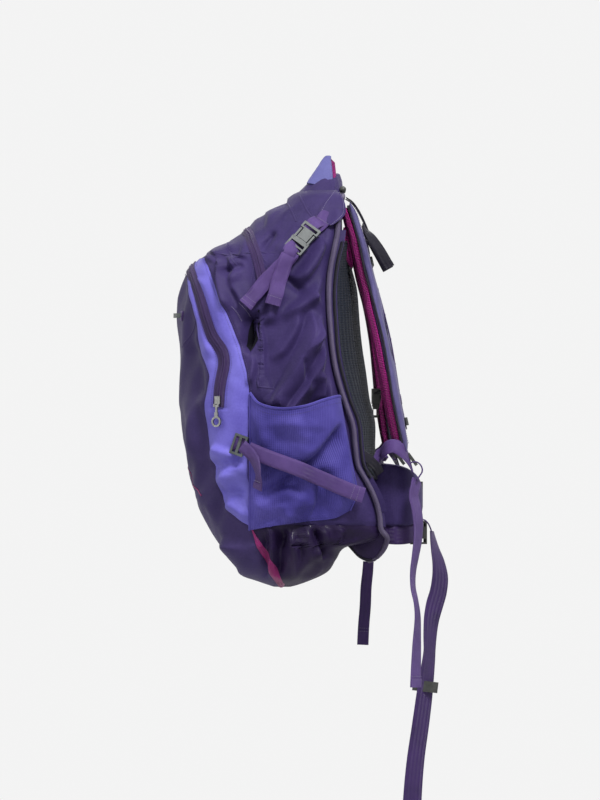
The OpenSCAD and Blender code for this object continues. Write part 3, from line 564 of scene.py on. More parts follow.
def make_stage():
    world = bpy.data.worlds.new("studio")
    world.use_nodes = True
    tree = world.node_tree
    where, parts, ramp = (tree.nodes.new("ShaderNode" + k) for k in ("TexCoord", "SeparateXYZ", "MapRange"))
    tree.links.new(where.outputs["Generated"], parts.inputs[0])
    tree.links.new(parts.outputs[2], ramp.inputs[0])
    ramp.inputs[1].default_value, ramp.inputs[2].default_value = -1, 1
    light = tree.nodes.new("ShaderNodeValToRGB")
    for k, (at, v) in enumerate([(0.0, 0.1), (0.38, 0.14), (0.455, 0.94), (0.545, 0.94), (0.6, 0.7),
                                 (1.0, 0.85)]):
        e = light.color_ramp.elements[k] if k < 2 else light.color_ramp.elements.new(at)
        e.position, e.color = at, (v, v, v, 1)
    tree.links.new(ramp.outputs[0], light.inputs[0])
    seen, pick = tree.nodes.new("ShaderNodeLightPath"), tree.nodes.new("ShaderNodeMix")
    pick.data_type = "RGBA"
    pick.inputs[7].default_value = (0.9, 0.9, 0.9, 1)
    tree.links.new(seen.outputs["Is Camera Ray"], pick.inputs[0])
    tree.links.new(light.outputs[0], pick.inputs[6])
    tree.links.new(pick.outputs[2], tree.nodes["Background"].inputs[0])
    tree.nodes["Background"].inputs[1].default_value = 1.0
    bpy.context.scene.world = world
    middle = (-0.04, 0, -0.3)
    lamp("key", (0.9, -2.0, 2.2), middle, 0.9, 120)
    lamp("fill", (-2.6, -1.4, 0.6), middle, 1.6, 16)
    lamp("rim", (0.6, 2.6, 1.2), middle, 1.8, 26)
    me = bpy.data.meshes.new("floor")
    bm = bmesh.new()
    bmesh.ops.create_circle(bm, cap_ends=True, segments=96, radius=1.7)
    bm.to_mesh(me)
    bm.free()
    floor = bpy.data.objects.new("floor", me)
    floor.location = (0, 0, cad_box[0].z - FLOOR_GAP)
    s = Shader("floor_paper", 0.9)
    grain = s.noise(s.place("object"), 90, 3)
    me.materials.append(s.finish(s.ramp(grain, [(0.3, (0.5, 0.5, 0.49, 1)), (0.7, (0.53, 0.53, 0.52, 1))])))
    bpy.context.scene.collection.objects.link(floor)
    bpy.context.scene.view_settings.view_transform = "Standard"


make_camera()
make_stage()


# ---- simulation
def run_cloth(ob, frames=20, pressure=0.0, grow=0.0, pins=None, bend=0.5, stiff=15.0, gravity=0.0,
              damping=5.0):
    """Runs Cloth on an object and returns the points it ends at, in metres."""
    scene = bpy.context.scene
    mod = ob.modifiers.new("cloth", "CLOTH")
    s = mod.settings
    s.quality, s.mass = 5, 0.3
    s.tension_stiffness = s.compression_stiffness = stiff
    s.shear_stiffness, s.bending_stiffness = stiff / 3, bend
    s.tension_damping = s.compression_damping = s.shear_damping = damping
    s.air_damping = 1.0
    s.use_pressure = pressure != 0
    s.uniform_pressure_force = pressure
    s.shrink_min = -grow
    s.effector_weights.gravity = gravity
    if pins is not None:
        group = ob.vertex_groups.new(name="pin")
        for k, w in enumerate(pins):
            group.add([k], float(w), "REPLACE")
        s.vertex_group_mass, s.pin_stiffness = "pin", 1.0
    mod.collision_settings.use_collision = False
    mod.point_cache.frame_start, mod.point_cache.frame_end = 1, frames
    for f in range(1, frames + 1):
        scene.frame_set(f)
    done = ob.evaluated_get(bpy.context.evaluated_depsgraph_get()).to_mesh()
    co = np.empty(len(done.vertices) * 3, np.float32)
    done.vertices.foreach_get("co", co)
    ob.modifiers.remove(mod)
    scene.frame_set(1)
    return co.reshape(-1, 3).astype(float)


def capped(move, cap):
    """Moves no longer than cap, eased towards it."""
    size = np.linalg.norm(move, axis=-1, keepdims=True)
    return move * np.where(size > 1e-9, cap * np.tanh(size / cap) / np.maximum(size, 1e-9), 0)


DRAPE_D = np.linspace(44, 560, 92)
DRAPE_N = 124


def seam_pins(d, u, right):
    """1 on the bag's seams and against its frame, falling to 0 in the middle of a panel."""
    x = skin(d, u)[..., 0]
    pin = np.zeros(d.shape)

    def seam(distance, width=7.0, strength=0.9):
        np.maximum(pin, strength * np.exp(-(distance / width) ** 2), out=pin)

    around = way_of(np.where(right, u, 360 - u)) * ROUND
    at = lambda table: way_of(angle_at(curve(table, d), d)) * ROUND
    below = (d > TOP_SEAM) & (d < BOTTOM_SEAM)
    seam(np.where(below, around - at(GUSSET_X), 99))
    seam(np.where((d > POCKET_SEAM) & (d < BOTTOM_SEAM), around - at(FRONT_EDGE_X), 99), 5)
    seam(np.where((d > POCKET_SEAM) & (d < 325), around - at(ZIP_X), 99), 8)
    seam(np.where(d > BOTTOM_SEAM, around - at(PIPING_X), 99), 6, 0.7)
    seam(np.where(x > -105, d - BOTTOM_SEAM, 99), 7, 0.7)
    pin[around < way_of(REAR_U + 8) * ROUND] = 1.0
    pin[(d < 62) | (d > 553)] = 1.0
    return pin


def blurred(move):
    """A grid of moves, closed the way round, with each point eased towards its neighbours."""
    move = (np.roll(move, 1, 1) + 2 * move + np.roll(move, -1, 1)) / 4
    move[1:-1] = (move[:-2] + 2 * move[1:-1] + move[2:]) / 4
    return move


def simulate_bag():
    """How far the slack fabric moves from the bag's form: a grid over depth and the way round."""
    way = np.arange(DRAPE_N) / DRAPE_N
    d, w = np.meshgrid(DRAPE_D, way, indexing="ij")
    u = angle_of(w)
    rest = skin(d, u, 0.5)
    rows, n = rest.shape[:2]
    at = np.arange(rows * n).reshape(rows, n)
    right = np.roll(at, -1, 1)
    faces = np.stack([at[:-1], at[1:], right[1:], right[:-1]], -1).reshape(-1, 4).tolist()
    faces += [at[0].tolist(), at[-1, ::-1].tolist()]
    me = bpy.data.meshes.new("bag_drape")
    me.from_pydata((rest.reshape(-1, 3) * MM).tolist(), [], faces)
    ob = bpy.data.objects.new("bag_drape", me)
    bpy.context.scene.collection.objects.link(ob)
    pins = seam_pins(d, u, u <= 180).ravel()
    moved = run_cloth(ob, 26, pressure=1.0, grow=0.09, pins=pins, bend=1.5, gravity=0.5)
    bpy.data.objects.remove(ob)
    move = capped(moved / MM - rest.reshape(-1, 3), 9.0).reshape(rest.shape)
    for _ in range(2):
        move = blurred(move)
    slow = move
    for _ in range(40):
        slow = blurred(slow)
    return (move - slow * 0.9) * 1.4


def cubic(p0, p1, p2, p3, s):
    """Catmull-Rom value between p1 and p2, at the share s."""
    return p1 + 0.5 * s * (p2 - p0 + s * (2 * p0 - 5 * p1 + 4 * p2 - p3 + s * (3 * (p1 - p2) + p3 - p0)))


def drape(d, u):
    """The simulated movement at any depth and angle, smoothly between the grid's points."""
    r = np.clip((d - DRAPE_D[0]) / (DRAPE_D[1] - DRAPE_D[0]), 0, len(DRAPE_D) - 1.001)
    c = way_of(np.mod(u, 360.0001)) * DRAPE_N
    r0, c0 = np.floor(r).astype(int), np.floor(c).astype(int)
    sr, sc = (r - r0)[..., None], (c - c0)[..., None]
    rows = []
    for k in (-1, 0, 1, 2):
        rr = np.clip(r0 + k, 0, len(DRAPE_D) - 1)
        rows.append(cubic(*(DRAPE[rr, (c0 + j) % DRAPE_N] for j in (-1, 0, 1, 2)), sc))
    return cubic(*rows, sr)


# Folds of the bag's sides, as lines in the side view:
# x1, z1, x2, z2, width above and below the line, height
SIDE_FOLDS = [
    (-26, -208, -86, -334, 2.2, 24, 15), (-8, -236, -62, -338, 2.6, 15, 10),
              (-2, -196, -40, -250, 2.4, 11, 6), (-42, -208, -70, -262, 5, 9, 5),
    (4, -150, -58, -205, 5, 12, 7), (8, -250, -6, -330, 4, 12, 7), (-13, -282, -11, -318, 10, 2, 6),
    (-91, -204, -104, -254, 12, 2.2, -13), (-91, -204, -91, -300, 1.2, 5, 3.5),
              (-56, -118, -92, -152, 6, 10, 7),
    (-72, -98, -96, -132, 6, 6, -6), (-146, -134, -134, -200, 6, 12, 8), (-124, -126, -122, -164, 5, 9, 7),
    (-122, -164, -106, -206, 5, 10, 6), (-152, -125, -164, -152, 7, 7, 4), (-40, -92, -66, -122, 5, 10, 6),
    (-12, -108, -44, -160, 5, 11, 7), (-104, -104, -112, -130, 4, 8, 6), (-118, -110, -140, -124, 6, 8, 5),
    (-112, -140, -136, -150, 5, 5, -5), (-60, -156, -30, -176, 8, 4, -5), (-30, -176, 6, -214, 8, 5, 5),
    (-150, -380, -118, -392, 12, 5, 5), (-148, -424, -108, -414, 10, 8, 5),
              (-130, -452, -104, -470, 8, 8, 5),
    (-154, -404, -112, -398, 6, 6, -4), (-140, -438, -108, -440, 6, 6, -4),
              (-166, -195, -150, -260, 7, 7, 3),
    (-178, -245, -166, -315, 13, 10, -5), (-184, -320, -168, -440, 8, 12, 5),
              (-170, -320, -160, -430, 8, 8, -5),
    (-162, -440, -118, -524, 8, 12, 6), (-150, -400, -140, -480, 8, 8, -4),
              (-128, -500, -100, -548, 6, 10, 6),
    (-30, -484, -36, -534, 4, 10, 8), (-60, -486, -66, -540, 9, 7, -10), (-50, -490, -44, -548, 4, 7, 7),
    (-8, -484, -18, -522, 6, 9, 6), (-82, -492, -88, -545, 6, 9, -7), (-74, -486, -78, -540, 4, 5, 5),
    (-20, -486, -8, -520, 4, 5, -7), (14, -484, 4, -512, 6, 6, 6), (34, -300, 40, -380, 4, 9, 5),
    (22, -170, 14, -250, 4, 9, -4), (26, -330, 36, -420, 4, 8, -5), (-70, -170, -82, -215, 5, 12, 6),
    (-40, -262, -30, -300, 4, 6, -3), (-98, -262, -104, -296, 4, 5, 4), (-84, -150, -100, -190, 4, 8, 4)]


FOLD_GAIN = 1.6
MAIN_ZIP = [(-101, 100), (-98, 112), (-93, 130), (-88, 150), (-84, 172)]  # x and depth, on the bag's side
# Height of the puffed compartments along the sloping top, by x
TOP_STEPS = [(-180, 0), (-172, 8), (-160, 6), (-153, 5), (-147, 11), (-136, 11), (-130, 8), (-124, 2),
             (-121, 5),
             (-110, 5), (-98, 4), (-92, 4), (-86, -2), (-78, 3), (-64, 0), (-57, -6), (-51, 0), (-40, 0)]


def folds_height(x, z, folds):
    """Height that a list of folds adds at places of the side view."""
    total = np.zeros(np.shape(x))
    for x1, z1, x2, z2, above, below, height in folds:
        along = np.array([x2 - x1, z2 - z1], float)
        length = np.linalg.norm(along)
        tx, tz = along / length
        t = ((x - x1) * tx + (z - z1) * tz) / length
        bow = 0.04 * length * np.sin(np.clip(t, 0, 1) * math.pi)
        s = (x - x1) * tz - (z - z1) * tx + bow
        ends = np.clip(t * 3 + 0.4, 0, 1) * np.clip((1 - t) * 3 + 0.4, 0, 1)
        ends = ends * ends * (3 - 2 * ends)
        beyond = np.maximum(np.maximum(-t, t - 1), 0) * length / 10
        total += height * ends * np.exp(-(s / np.where(s > 0, above, below)) ** 2 - beyond**2)
    return total


def side_folds(d, u):
    """Height of the listed folds: those of the right side, and a calmer set on the left."""
    p = skin(d, u)
    right = p[..., 1] < 0
    share = np.clip(np.abs(p[..., 1]) / 55, 0, 1)
    shifted = folds_height(p[..., 0] * 0.97, p[..., 2] * 1.02 - 4, SIDE_FOLDS) * 0.7
    folds = np.where(right, folds_height(p[..., 0], p[..., 2], SIDE_FOLDS), shifted) * share * FOLD_GAIN
    across = np.clip((0.97 - np.abs(p[..., 1]) / curve(HALF_W, d)) / 0.35, 0, 1)
    on_top = np.clip((156 - d) / 10, 0, 1) * across * across * (3 - 2 * across)
    return folds + np.interp(p[..., 0], *zip(*TOP_STEPS)) * on_top


def looseness(d, u):
    """1 where the bag's cloth hangs free, and less beside a zip and under a side pocket."""
    around = way_of(np.where(u <= 180, u, 360 - u)) * ROUND
    x = skin(d, u)[..., 0]
    zip_at = way_of(angle_at(curve(ZIP_X, d), d)) * ROUND
    from_zip = np.where((d > POCKET_SEAM) & (d < 330), around - zip_at, 99)
    from_zip = np.minimum(np.abs(from_zip), np.where(x < -140, np.abs(d - 148), 99))
    zip_x, zip_d = zip(*MAIN_ZIP)
    main_x = np.interp(d, zip_d, zip_x)
    from_main = np.where((d > 94) & (d < 176), np.abs(x - main_x), 99) + 20 * np.clip((d - 168) / 8, 0, 1)
    loose = (1 - 0.92 * np.exp(-(from_zip / 15) ** 4)) * (1 - 0.8 * np.exp(-(from_main / 11) ** 4))
    mouth = curve(POCKET_TOP, np.clip((x + 101) / 115, 0, 1)) + 12
    under = np.clip((x + 104) / 6, 0, 1) * np.clip((d - mouth) / 8, 0, 1) * np.clip((478 - d) / 6, 0, 1)
    under = under * np.clip((34 - x) / 8, 0, 1)
    from_rear = np.clip((around - way_of(REAR_U) * ROUND - 4) / 26, 0, 1)
    loose = loose * np.where(d > 70, from_rear**2 * (3 - 2 * from_rear), 1)
    return loose * (1 - 0.95 * under), under


def bag(d, u, off=0.0):
    """Point of the bag's fabric, folds and sag with it."""
    d, u, off = np.broadcast_arrays(np.asarray(d, float), np.asarray(u, float), np.asarray(off, float))
    loose, under = looseness(d, u)
    return skin(d, u, off + side_folds(d, u) * loose - 1.5 * under) + drape(d, u) * (0.8 * loose)[..., None]


def bag_at(x, d, off=0.0, left=False):
    u = angle_at(x, d)
    return bag(d, 360 - u if left else u, off)


def bag_normal(d, u):
    """Outward normal of the bag's fabric."""
    across = bag(d, u + 1.2) - bag(d, u - 1.2)
    down = bag(d + 2.5, u) - bag(d - 2.5, u)
    return unit(np.cross(across, down))


DRAPE = simulate_bag()


# ---- the bag's panels
def panel(name, d0, d1, f, g, step, material, slot, nodes, thick=1.3, lift=0.0, seams="tbfg", dip=1.6):
    """Closed fabric panel between depths d0 and d1 and the angles f(d) and g(d).

    It dips into its seams: t and b are its top and bottom edges, f and g its two sides."""
    rows = int((d1 - d0) / step) + 1
    d = np.linspace(d0, d1, rows)
    w0, w1 = way_of(f(d)), way_of(g(d))
    cols = max(4, int((w1 - w0).max() * ROUND / step))
    s = np.linspace(0, 1, cols + 1)
    way = w0[:, None] * (1 - s) + w1[:, None] * s
    depth = np.repeat(d[:, None], cols + 1, 1)
    wide = ((w1 - w0) * ROUND)[:, None]
    gaps = {"t": depth - d0, "b": d1 - depth, "f": s[None] * wide, "g": (1 - s)[None] * wide}
    from_edge = np.minimum.reduce([gaps[k] for k in seams] or [np.full(depth.shape, 99.0)])
    high = lift + PANEL_T - dip * np.exp(-(from_edge / 3.5) ** 2)
    u = angle_of(way)
    uv = np.stack([way * ROUND * MM, depth * MM], -1)
    return mesh_piece(name, [closed_sheet(bag(depth, u, high), bag(depth, u, high - thick), uv)],
                      material, "pack", nodes)


def both(f):
    """The same angle function on the left side."""
    return lambda d: 360 - f(d)


def on_table(table):
    return lambda d: angle_at(curve(table, d), d)


gusset_u, zip_u, piping_u, edge_u = (on_table(t) for t in (GUSSET_X, ZIP_X, PIPING_X, FRONT_EDGE_X))
rear_u = lambda d: np.full(np.shape(d), REAR_U)
zero_u = lambda d: np.zeros(np.shape(d))
front_u = lambda d: np.where(d < POCKET_SEAM, 180.0, edge_u(np.maximum(d, POCKET_SEAM)))
wedge_u = lambda d: angle_of(way_of(piping_u(d)) - (2.2 + 36 * np.clip((d - 490) / 66, 0,
                                                                       1) ** 1.15) / ROUND)


def side_pair(side, f, g):
    """The two edges of a panel, in the order that goes round the bag."""
    return (f, g) if side == "right" else (both(g), both(f))


for side in ("right", "left"):
    order = "fg" if side == "right" else "gf"
    panel(f"side_panel_{side}_cloth", TOP_SEAM - 6, BOTTOM_SEAM, *side_pair(side, rear_u, gusset_u), 2.3,
          DARK,
          "bag_dark", [f"side_panel_{side}"], seams="b" + order[1], lift=-0.1)
    panel(f"front_gusset_{side}_cloth", TOP_SEAM, BOTTOM_SEAM + 3, *side_pair(side, gusset_u, front_u), 2.3,
          LAVENDER, "lavender", [f"front_gusset_{side}"], lift=0.3, seams=order[0])
    panel(f"bottom_panel_{side}", BOTTOM_SEAM, 561, *side_pair(side, zero_u, piping_u), 2.4, PLUM,
          "base_plum",
          ["bottom_panel"] if side == "right" else [], seams="t" + order[1])
    panel(f"bottom_piping_{side}", 483, 562, *side_pair(side, wedge_u, piping_u), 1.6, PIPING, "base_plum",
          [],
          lift=1.0, thick=1.8, seams="fg", dip=0.8)
    panel(f"back_panel_{side}", 52, BOTTOM_SEAM, *side_pair(side, zero_u, rear_u), 5, SHADE, "bag_dark",
          ["back_panel"] if side == "right" else [], seams="")
panel("front_panel_cloth", POCKET_SEAM, BOTTOM_SEAM, edge_u, both(edge_u), 2.5, SHADE, "bag_dark",
      ["front_panel"], seams="tfg")
panel("front_panel_foot", BOTTOM_SEAM, 561, piping_u, both(piping_u), 2.5, SHADE, "bag_dark", [],
      seams="fg")
panel("top_panel_cloth", 41, TOP_SEAM, rear_u, both(rear_u), 2.3, DARK, "bag_dark", ["top_panel"], seams="")


# ---- free-hanging webbing, along the CAD source's routes in metres
def metres(points):
    return [(x * MM, y * MM, z * MM) for x, y, z in points]


TAIL_RIGHT = [
    (0.114, -0.103, -0.421), (0.112, -0.106, -0.430), (0.110, -0.108, -0.442), (0.114, -0.108, -0.460),
    (0.116, -0.108, -0.480), (0.115, -0.108, -0.500), (0.112, -0.108, -0.520), (0.109, -0.108, -0.540),
    (0.109, -0.108, -0.560), (0.113, -0.108, -0.580), (0.115, -0.108, -0.600), (0.114, -0.108, -0.630),
    (0.113, -0.108, -0.660), (0.112, -0.108, -0.690)]
HIP = [
    (0.134, -0.062, -0.488), (0.136, -0.063, -0.500), (0.139, -0.064, -0.514), (0.143, -0.064, -0.530),
    (0.145, -0.064, -0.548), (0.143, -0.064, -0.566), (0.138, -0.064, -0.584), (0.134, -0.064, -0.602),
    (0.132, -0.064, -0.622), (0.131, -0.064, -0.645), (0.129, -0.064, -0.665), (0.126, -0.064, -0.690),
    (0.123, -0.064, -0.715), (0.119, -0.064, -0.745), (0.114, -0.064, -0.780), (0.111, -0.064, -0.810),
    (0.109, -0.064, -0.840), (0.108, -0.064, -0.862)]
REAR_TAIL = [
    (0.053, 0.084, -0.530), (0.052, 0.084, -0.545), (0.050, 0.084, -0.565), (0.049, 0.084, -0.590),
    (0.047, 0.084, -0.615), (0.046, 0.084, -0.640)]
WEBBING_T, WEBBING_W = 1.6, 20


def length_of(points):
    return float(np.linalg.norm(np.diff(np.asarray(points, float), axis=0), axis=1).sum())


def free_webbing(name, route, w, material, body, node, twist, pieces=(), end=18):
    """Webbing that hangs free: its own solid and a folded and stitched end.

    twist lists how far it has turned from facing the side, in degrees, from its top to its end."""
    line = even(smooth(route, 8) / MM, 2.0)
    turn = np.radians(np.interp(np.linspace(0, 1, len(line)), np.linspace(0, 1, len(twist)), twist))
    for _ in range(6):
        turn[1:-1] = (turn[:-2] + turn[1:-1] * 2 + turn[2:]) / 4
    facing = np.stack([np.sin(turn), -np.cos(turn), np.zeros(len(line))], 1)
    parts = [sweep(line, facing, tape_profile(w, WEBBING_T))]
    if end:
        parts.append(folded_end(line, facing, w, WEBBING_T, end))
        sewn = mesh_piece(name + "_stitches", [cross_rows(line, facing, w, -int(end / 2) + 1,
                                                          2 * WEBBING_T),
                                               cross_rows(line, facing, w, -int(end / 2) + 3,
                                                          2 * WEBBING_T)],
                          THREAD, body)
        pieces = [*pieces, sewn]
    ob = mesh_piece(name, parts, material, body, [node])
    path = metres(even(line, 4) + np.array([0, -WEBBING_T / 2, 0]))
    return ob


free_webbing("adjuster_tail_right_webbing", TAIL_RIGHT, 20, WEBBING, "strap_right",
             "adjuster_tail_right",
             [50, 52, 50, 58, 66, 72, 74, 66, 56, 50, 48])
free_webbing("hip_webbing_strap", HIP, 25, DEEP_WEBBING, "wing_right", "hip_webbing",
             [80, 60, 30, 22, 40, 52, 40, 30, 26, 24, 20, 14, 8], [CAD["hip_plug"], CAD["hip_triglide"]],
             end=0)
free_webbing("rear_tail_webbing", REAR_TAIL, 15, DEEP_WEBBING, "pack", "rear_tail",
             [20, 12, 4, 0, -6], end=26)


# ---- things that lie on the bag
def on_bag(places, off, left=False, step=3.0):
    """Dense points and normals over the bag's side along places (x, depth), at a height off it."""
    q = even(smooth(places, 8), step)
    off = off(q[:, 0], q[:, 1]) if callable(off) else off
    u = angle_at(q[:, 0], q[:, 1])
    u = 360 - u if left else u
    return bag(q[:, 1], u, off), bag_normal(q[:, 1], u)


def steady(points, normals, times=3):
    """The same line with its small bumps eased out, as stiff webbing lies over slack cloth."""
    p, n = points.copy(), normals.copy()
    for _ in range(times):
        p[1:-1] = (p[:-2] + 2 * p[1:-1] + p[2:]) / 4
        n[1:-1] = (n[:-2] + 2 * n[1:-1] + n[2:]) / 4
    return p, unit(n)


def mirrored(points):
    return np.asarray(points, float) * np.array([1, -1, 1])


def zip_profile(w):
    """Outline of a closed zip: flat tapes and, in the middle, the two rows of the coil with a slit."""
    top = [(-w / 2, 0.5), (-w / 2 + 0.6, 0.8), (-3.0, 0.8), (-2.4, 1.5), (-1.6, 2.0), (-0.6, 1.9), (0, 0.9)]
    top += [(-x, y) for x, y in top[-2::-1]]
    return np.array(top + [(w / 2, 0), (w / 4, 0), (0, 0), (-w / 4, 0), (-w / 2, 0)])


def front_zip_path(off, beside=0.0):
    """Up the front pocket's right side, over its top and down the left; beside is mm towards the front."""
    d = np.concatenate([np.arange(326, POCKET_SEAM, -3.0), [POCKET_SEAM]])
    top_u = float(zip_u(np.array([POCKET_SEAM]))[0])
    s = np.linspace(0, 1, 56)[1:-1]
    depth = np.concatenate([d, POCKET_SEAM - 9 * np.sin(s * math.pi), d[::-1]])
    u = np.concatenate([zip_u(d), top_u + (360 - 2 * top_u) * s, 360 - zip_u(d)[::-1]])
    flank = np.clip(depth - POCKET_SEAM, 0, 12) / 12
    sign = np.where(u < 180, 1, -1)
    way = way_of(u) + sign * beside * flank / ROUND
    depth = depth + beside * (1 - flank)
    u = angle_of(way)
    return steady(bag(depth, u, off), bag_normal(depth, u), 4)


def main_zip_path(off, beside=0.0):
    """Up the right side, over the top and down the left."""
    down = even(smooth(MAIN_ZIP, 8), 3.0)
    u0 = float(angle_at(down[0, 0], down[0, 1]))
    s = np.linspace(0, 1, 60)[1:-1]
    depth = np.concatenate([down[::-1, 1], 100 - 6 * np.sin(s * math.pi), down[:, 1]])
    side_u = angle_at(down[:, 0], down[:, 1])
    u = np.concatenate([side_u[::-1], u0 + (360 - 2 * u0) * s, 360 - side_u])
    sign = np.where(u < 180, 1, -1)
    u = angle_of(way_of(u) + sign * beside / ROUND)
    return steady(bag(depth, u, off), bag_normal(depth, u), 4)


def make_zips():
    for name, path, node, w in (("front_zip", front_zip_path, "front_zip_tape", 16.5),
                                ("main_zip", main_zip_path, "main_zip_tape", 13)):
        p, n = path(PANEL_T + 0.9)
        mesh_piece(name + "_closed", [sweep(p, n, zip_profile(w))], TAPE, "pack", [node])
        rows = [dashes(*path(PANEL_T + 0.9, beside=s * (w / 2 + 2.6)), 3.0, 2.0, 0.26,
                       0.2) for s in (-1, 1)]
        rows += [dashes(*path(PANEL_T + 1.9, beside=s * (w / 2 - 1.4)), 2.6, 1.8, 0.2,
                        0.0) for s in (-1, 1)]
        mesh_piece(name + "_stitches", rows, DIM_THREAD, "pack")


def seam_lines():
    """Sewn seams of the bag's sides, each a narrow fold with its stitches beside it."""
    seams = [[(-91, 208), (-91, 250), (-91, 300)], [(-91, 300), (-80, 301), (-72, 301)],
             [(-170, 212), (-181, 232), (-190, 246)], [(-126, 108), (-124, 120), (-118, 140)],
             [(-54, 58), (-48, 70), (-42, 84)], [(-36, 52), (-30, 66), (-22, 78)]]
    strips, rows = [], []
    for line in seams:
        for left in (False, True):
            p, n = on_bag(line, PANEL_T - 0.2, left, 2.0)
            strips.append(sweep(p, n, round_profile(1.5, 8, 0.0, 0.55)))
            q, m = on_bag([(x + 3.2, d) for x, d in line], PANEL_T + 0.1, left, 2.0)
            rows.append(dashes(q, m, 3.0, 2.0, 0.22, 0.1))
    mesh_piece("side_seams", strips, SHADE, "pack")
    mesh_piece("side_seam_stitches", rows, DIM_THREAD, "pack")
    edges = []
    for f, d0, d1, beside in ((gusset_u, 132, 478, -3.0), (gusset_u, 132, 300, 3.0),
                              (edge_u, 152, 478, 3.0),
                              (piping_u, 484, 556, -4.0)):
        d = np.arange(d0, d1, 2.5)
        u = angle_of(way_of(f(d)) + beside / ROUND)
        for a in (u, 360 - u):
            edges.append(dashes(bag(d, a, PANEL_T + 0.25), bag_normal(d, a), 3.1, 2.1, 0.24, 0.1))
    mesh_piece("panel_stitches", edges, DIM_THREAD, "pack")
    line = [(-181, 398), (-175, 410), (-171, 424), (-159, 441)]
    accents = [sweep(*on_bag(line, PANEL_T, left, 2.0), tape_profile(1.8, 0.7)) for left in (False, True)]
    mesh_piece("accent_lines", accents, PIPING, "pack")


def make_fold_shadow_sheet():
    """Painted shadow: a near-black sheet in the mouth of the big fold beside the anchor of the upper strap,
    where the fold's shade falls.
    """
    sheets = []
    front = smooth([(-93, 198), (-99, 214), (-106, 234), (-109, 248)], 5)
    rear = smooth([(-90, 199), (-90, 220), (-92.5, 238), (-102, 255)], 5)
    s = np.linspace(0, 1, 10)
    x, d = (front[:, k:k + 1] * (1 - s) + rear[:, k:k + 1] * s for k in (0, 1))
    for left in (False, True):
        sheets.append(closed_sheet(bag_at(x, d, PANEL_T + 0.5, left), bag_at(x, d, PANEL_T - 0.6, left)))
    mesh_piece("side_fold_painted_shadow", sheets, FOLD_SHADOW_CLOTH, "pack")


make_zips()
seam_lines()
make_fold_shadow_sheet()


# ---- side pockets
POCKET_FOLDS = [
    (8, -352, -40, -408, 6, 17, -15), (-40, -408, -90, -442, 7, 18, -13),
                (-12, -408, -17, -476, 7, 13, -14),
    (14, -346, 22, -440, 9, 9, 8), (-94, -460, -46, -430, 12, 8, 9), (-100, -332, -84, -376, 5, 9, 7),
    (-60, -340, -30, -392, 12, 12, 7), (-36, -440, -52, -474, 8, 8, 7),
    (-90, -350, -20, -352, 6, 9, 2.5), (-70, -366, -30, -378, 7, 7, -2.5), (-4, -420, 14, -462, 8, 7, 4),
    (-94, -478, -56, -470, 5, 5, -3.5), (-60, -452, -50, -476, 6, 6, 3)]
POCKET_BULGE = 26.0


def pocket_at(s, t, extra, left=False):
    """Point of a side pocket: s from its front seam to its rear edge, t from its mouth down."""
    s, t = np.broadcast_arrays(np.asarray(s, float), np.asarray(t, float))
    d = curve(POCKET_TOP, s) * (1 - t) + curve(POCKET_BOTTOM, s) * t
    x = POCKET_FRONT_X * (1 - s) + curve(POCKET_REAR, t) * s
    swell = np.sin(np.pi * np.clip(s, 0, 1)) ** 0.8
    off = PANEL_T + 0.6 + (POCKET_BULGE * (1 - t) ** 1.3 + 7) * swell * np.minimum(1, (1.02 - t) * 6)
    fold = folds_height(x, -d, POCKET_FOLDS) * np.clip(swell * 1.6, 0, 1)
    if left:
        fold = folds_height(x * 0.95 - 3, -d - 5, POCKET_FOLDS) * 0.8 * np.clip(swell * 1.6, 0, 1)
    p = skin(d, angle_at(x, d), off + np.maximum(fold, 0.8 - off) + extra)
    return mirrored(p) if left else p


def pocket_places():
    """Where the pocket lies in the side view, to find its height under the webbing."""
    s, t = np.meshgrid(np.linspace(0, 1, 41), np.linspace(0, 1, 41))
    return s.ravel(), t.ravel(), pocket_at(s, t, 1.6).reshape(-1, 3)


def make_pocket(side):
    left = side == "left"
    t, s = np.meshgrid(np.linspace(0, 1, 76), np.linspace(0, 1, 70), indexing="ij")
    edge = np.minimum(np.minimum(s, 1 - s) * 150, (1 - t) * 150)
    dip = 1.0 * np.exp(-(edge / 3) ** 2)
    outer, inner = pocket_at(s, t, 1.4 - dip, left), pocket_at(s, t, 0.2 - dip, left)
    uv = np.stack([s * 0.15, t * 0.16], -1)
    ob = mesh_piece(f"side_pocket_{side}_knit", [closed_sheet(outer, inner, uv)], STRETCH, "pack",
                    [f"side_pocket_{side}"])
    q = np.linspace(0.0, 1.0, 90)
    rim = pocket_at(q, np.zeros(90), 0.8, left)
    out = unit(pocket_at(q, np.zeros(90), 3.0, left) - rim)
    hem = mesh_piece(f"side_pocket_{side}_hem", [sweep(rim, out, round_profile(1.9, 10, 0.0, 0.8))],
                     STRETCH,
                     "pack")
    line = pocket_at(q, np.full(90, 0.055), 1.5, left)
    sewn = mesh_piece(f"side_pocket_{side}_stitches", [dashes(line, out, 2.8, 1.9, 0.22, 0.05)], DIM_THREAD,
                      "pack")
    d = np.linspace(0, 1, 60)
    for k, at in enumerate((0.0, 1.0)):
        p = pocket_at(np.full(60, at), d, 1.0, left)
        n = unit(pocket_at(np.full(60, at), d, 3.0, left) - p)
        mesh_piece(f"side_pocket_{side}_seam_{k + 1}", [sweep(p, n, round_profile(1.5, 8, 0.0, 0.6))],
                   STRETCH,
                   "pack")
    wide = length_of(pocket_at(q, np.full(90, 0.3), 0)) * MM
    high = length_of(pocket_at(np.full(60, 0.5), d, 0)) * MM


for side in ("right", "left"):
    make_pocket(side)
_, _, POCKET_SPOTS = pocket_places()


def above_pocket(x, d):
    """Height off the bag's form that clears the pocket at places of the side view."""
    here = bag(d, angle_at(x, d), 0.0)
    height = np.zeros(np.shape(x))
    for k in range(len(x)):
        far = np.hypot(POCKET_SPOTS[:, 0] - here[k, 0], POCKET_SPOTS[:, 2] - here[k, 2])
        near = far < 13
        if near.any():
            height[k] = max(0.0, (here[k, 1] - POCKET_SPOTS[near, 1].min()))
    return height


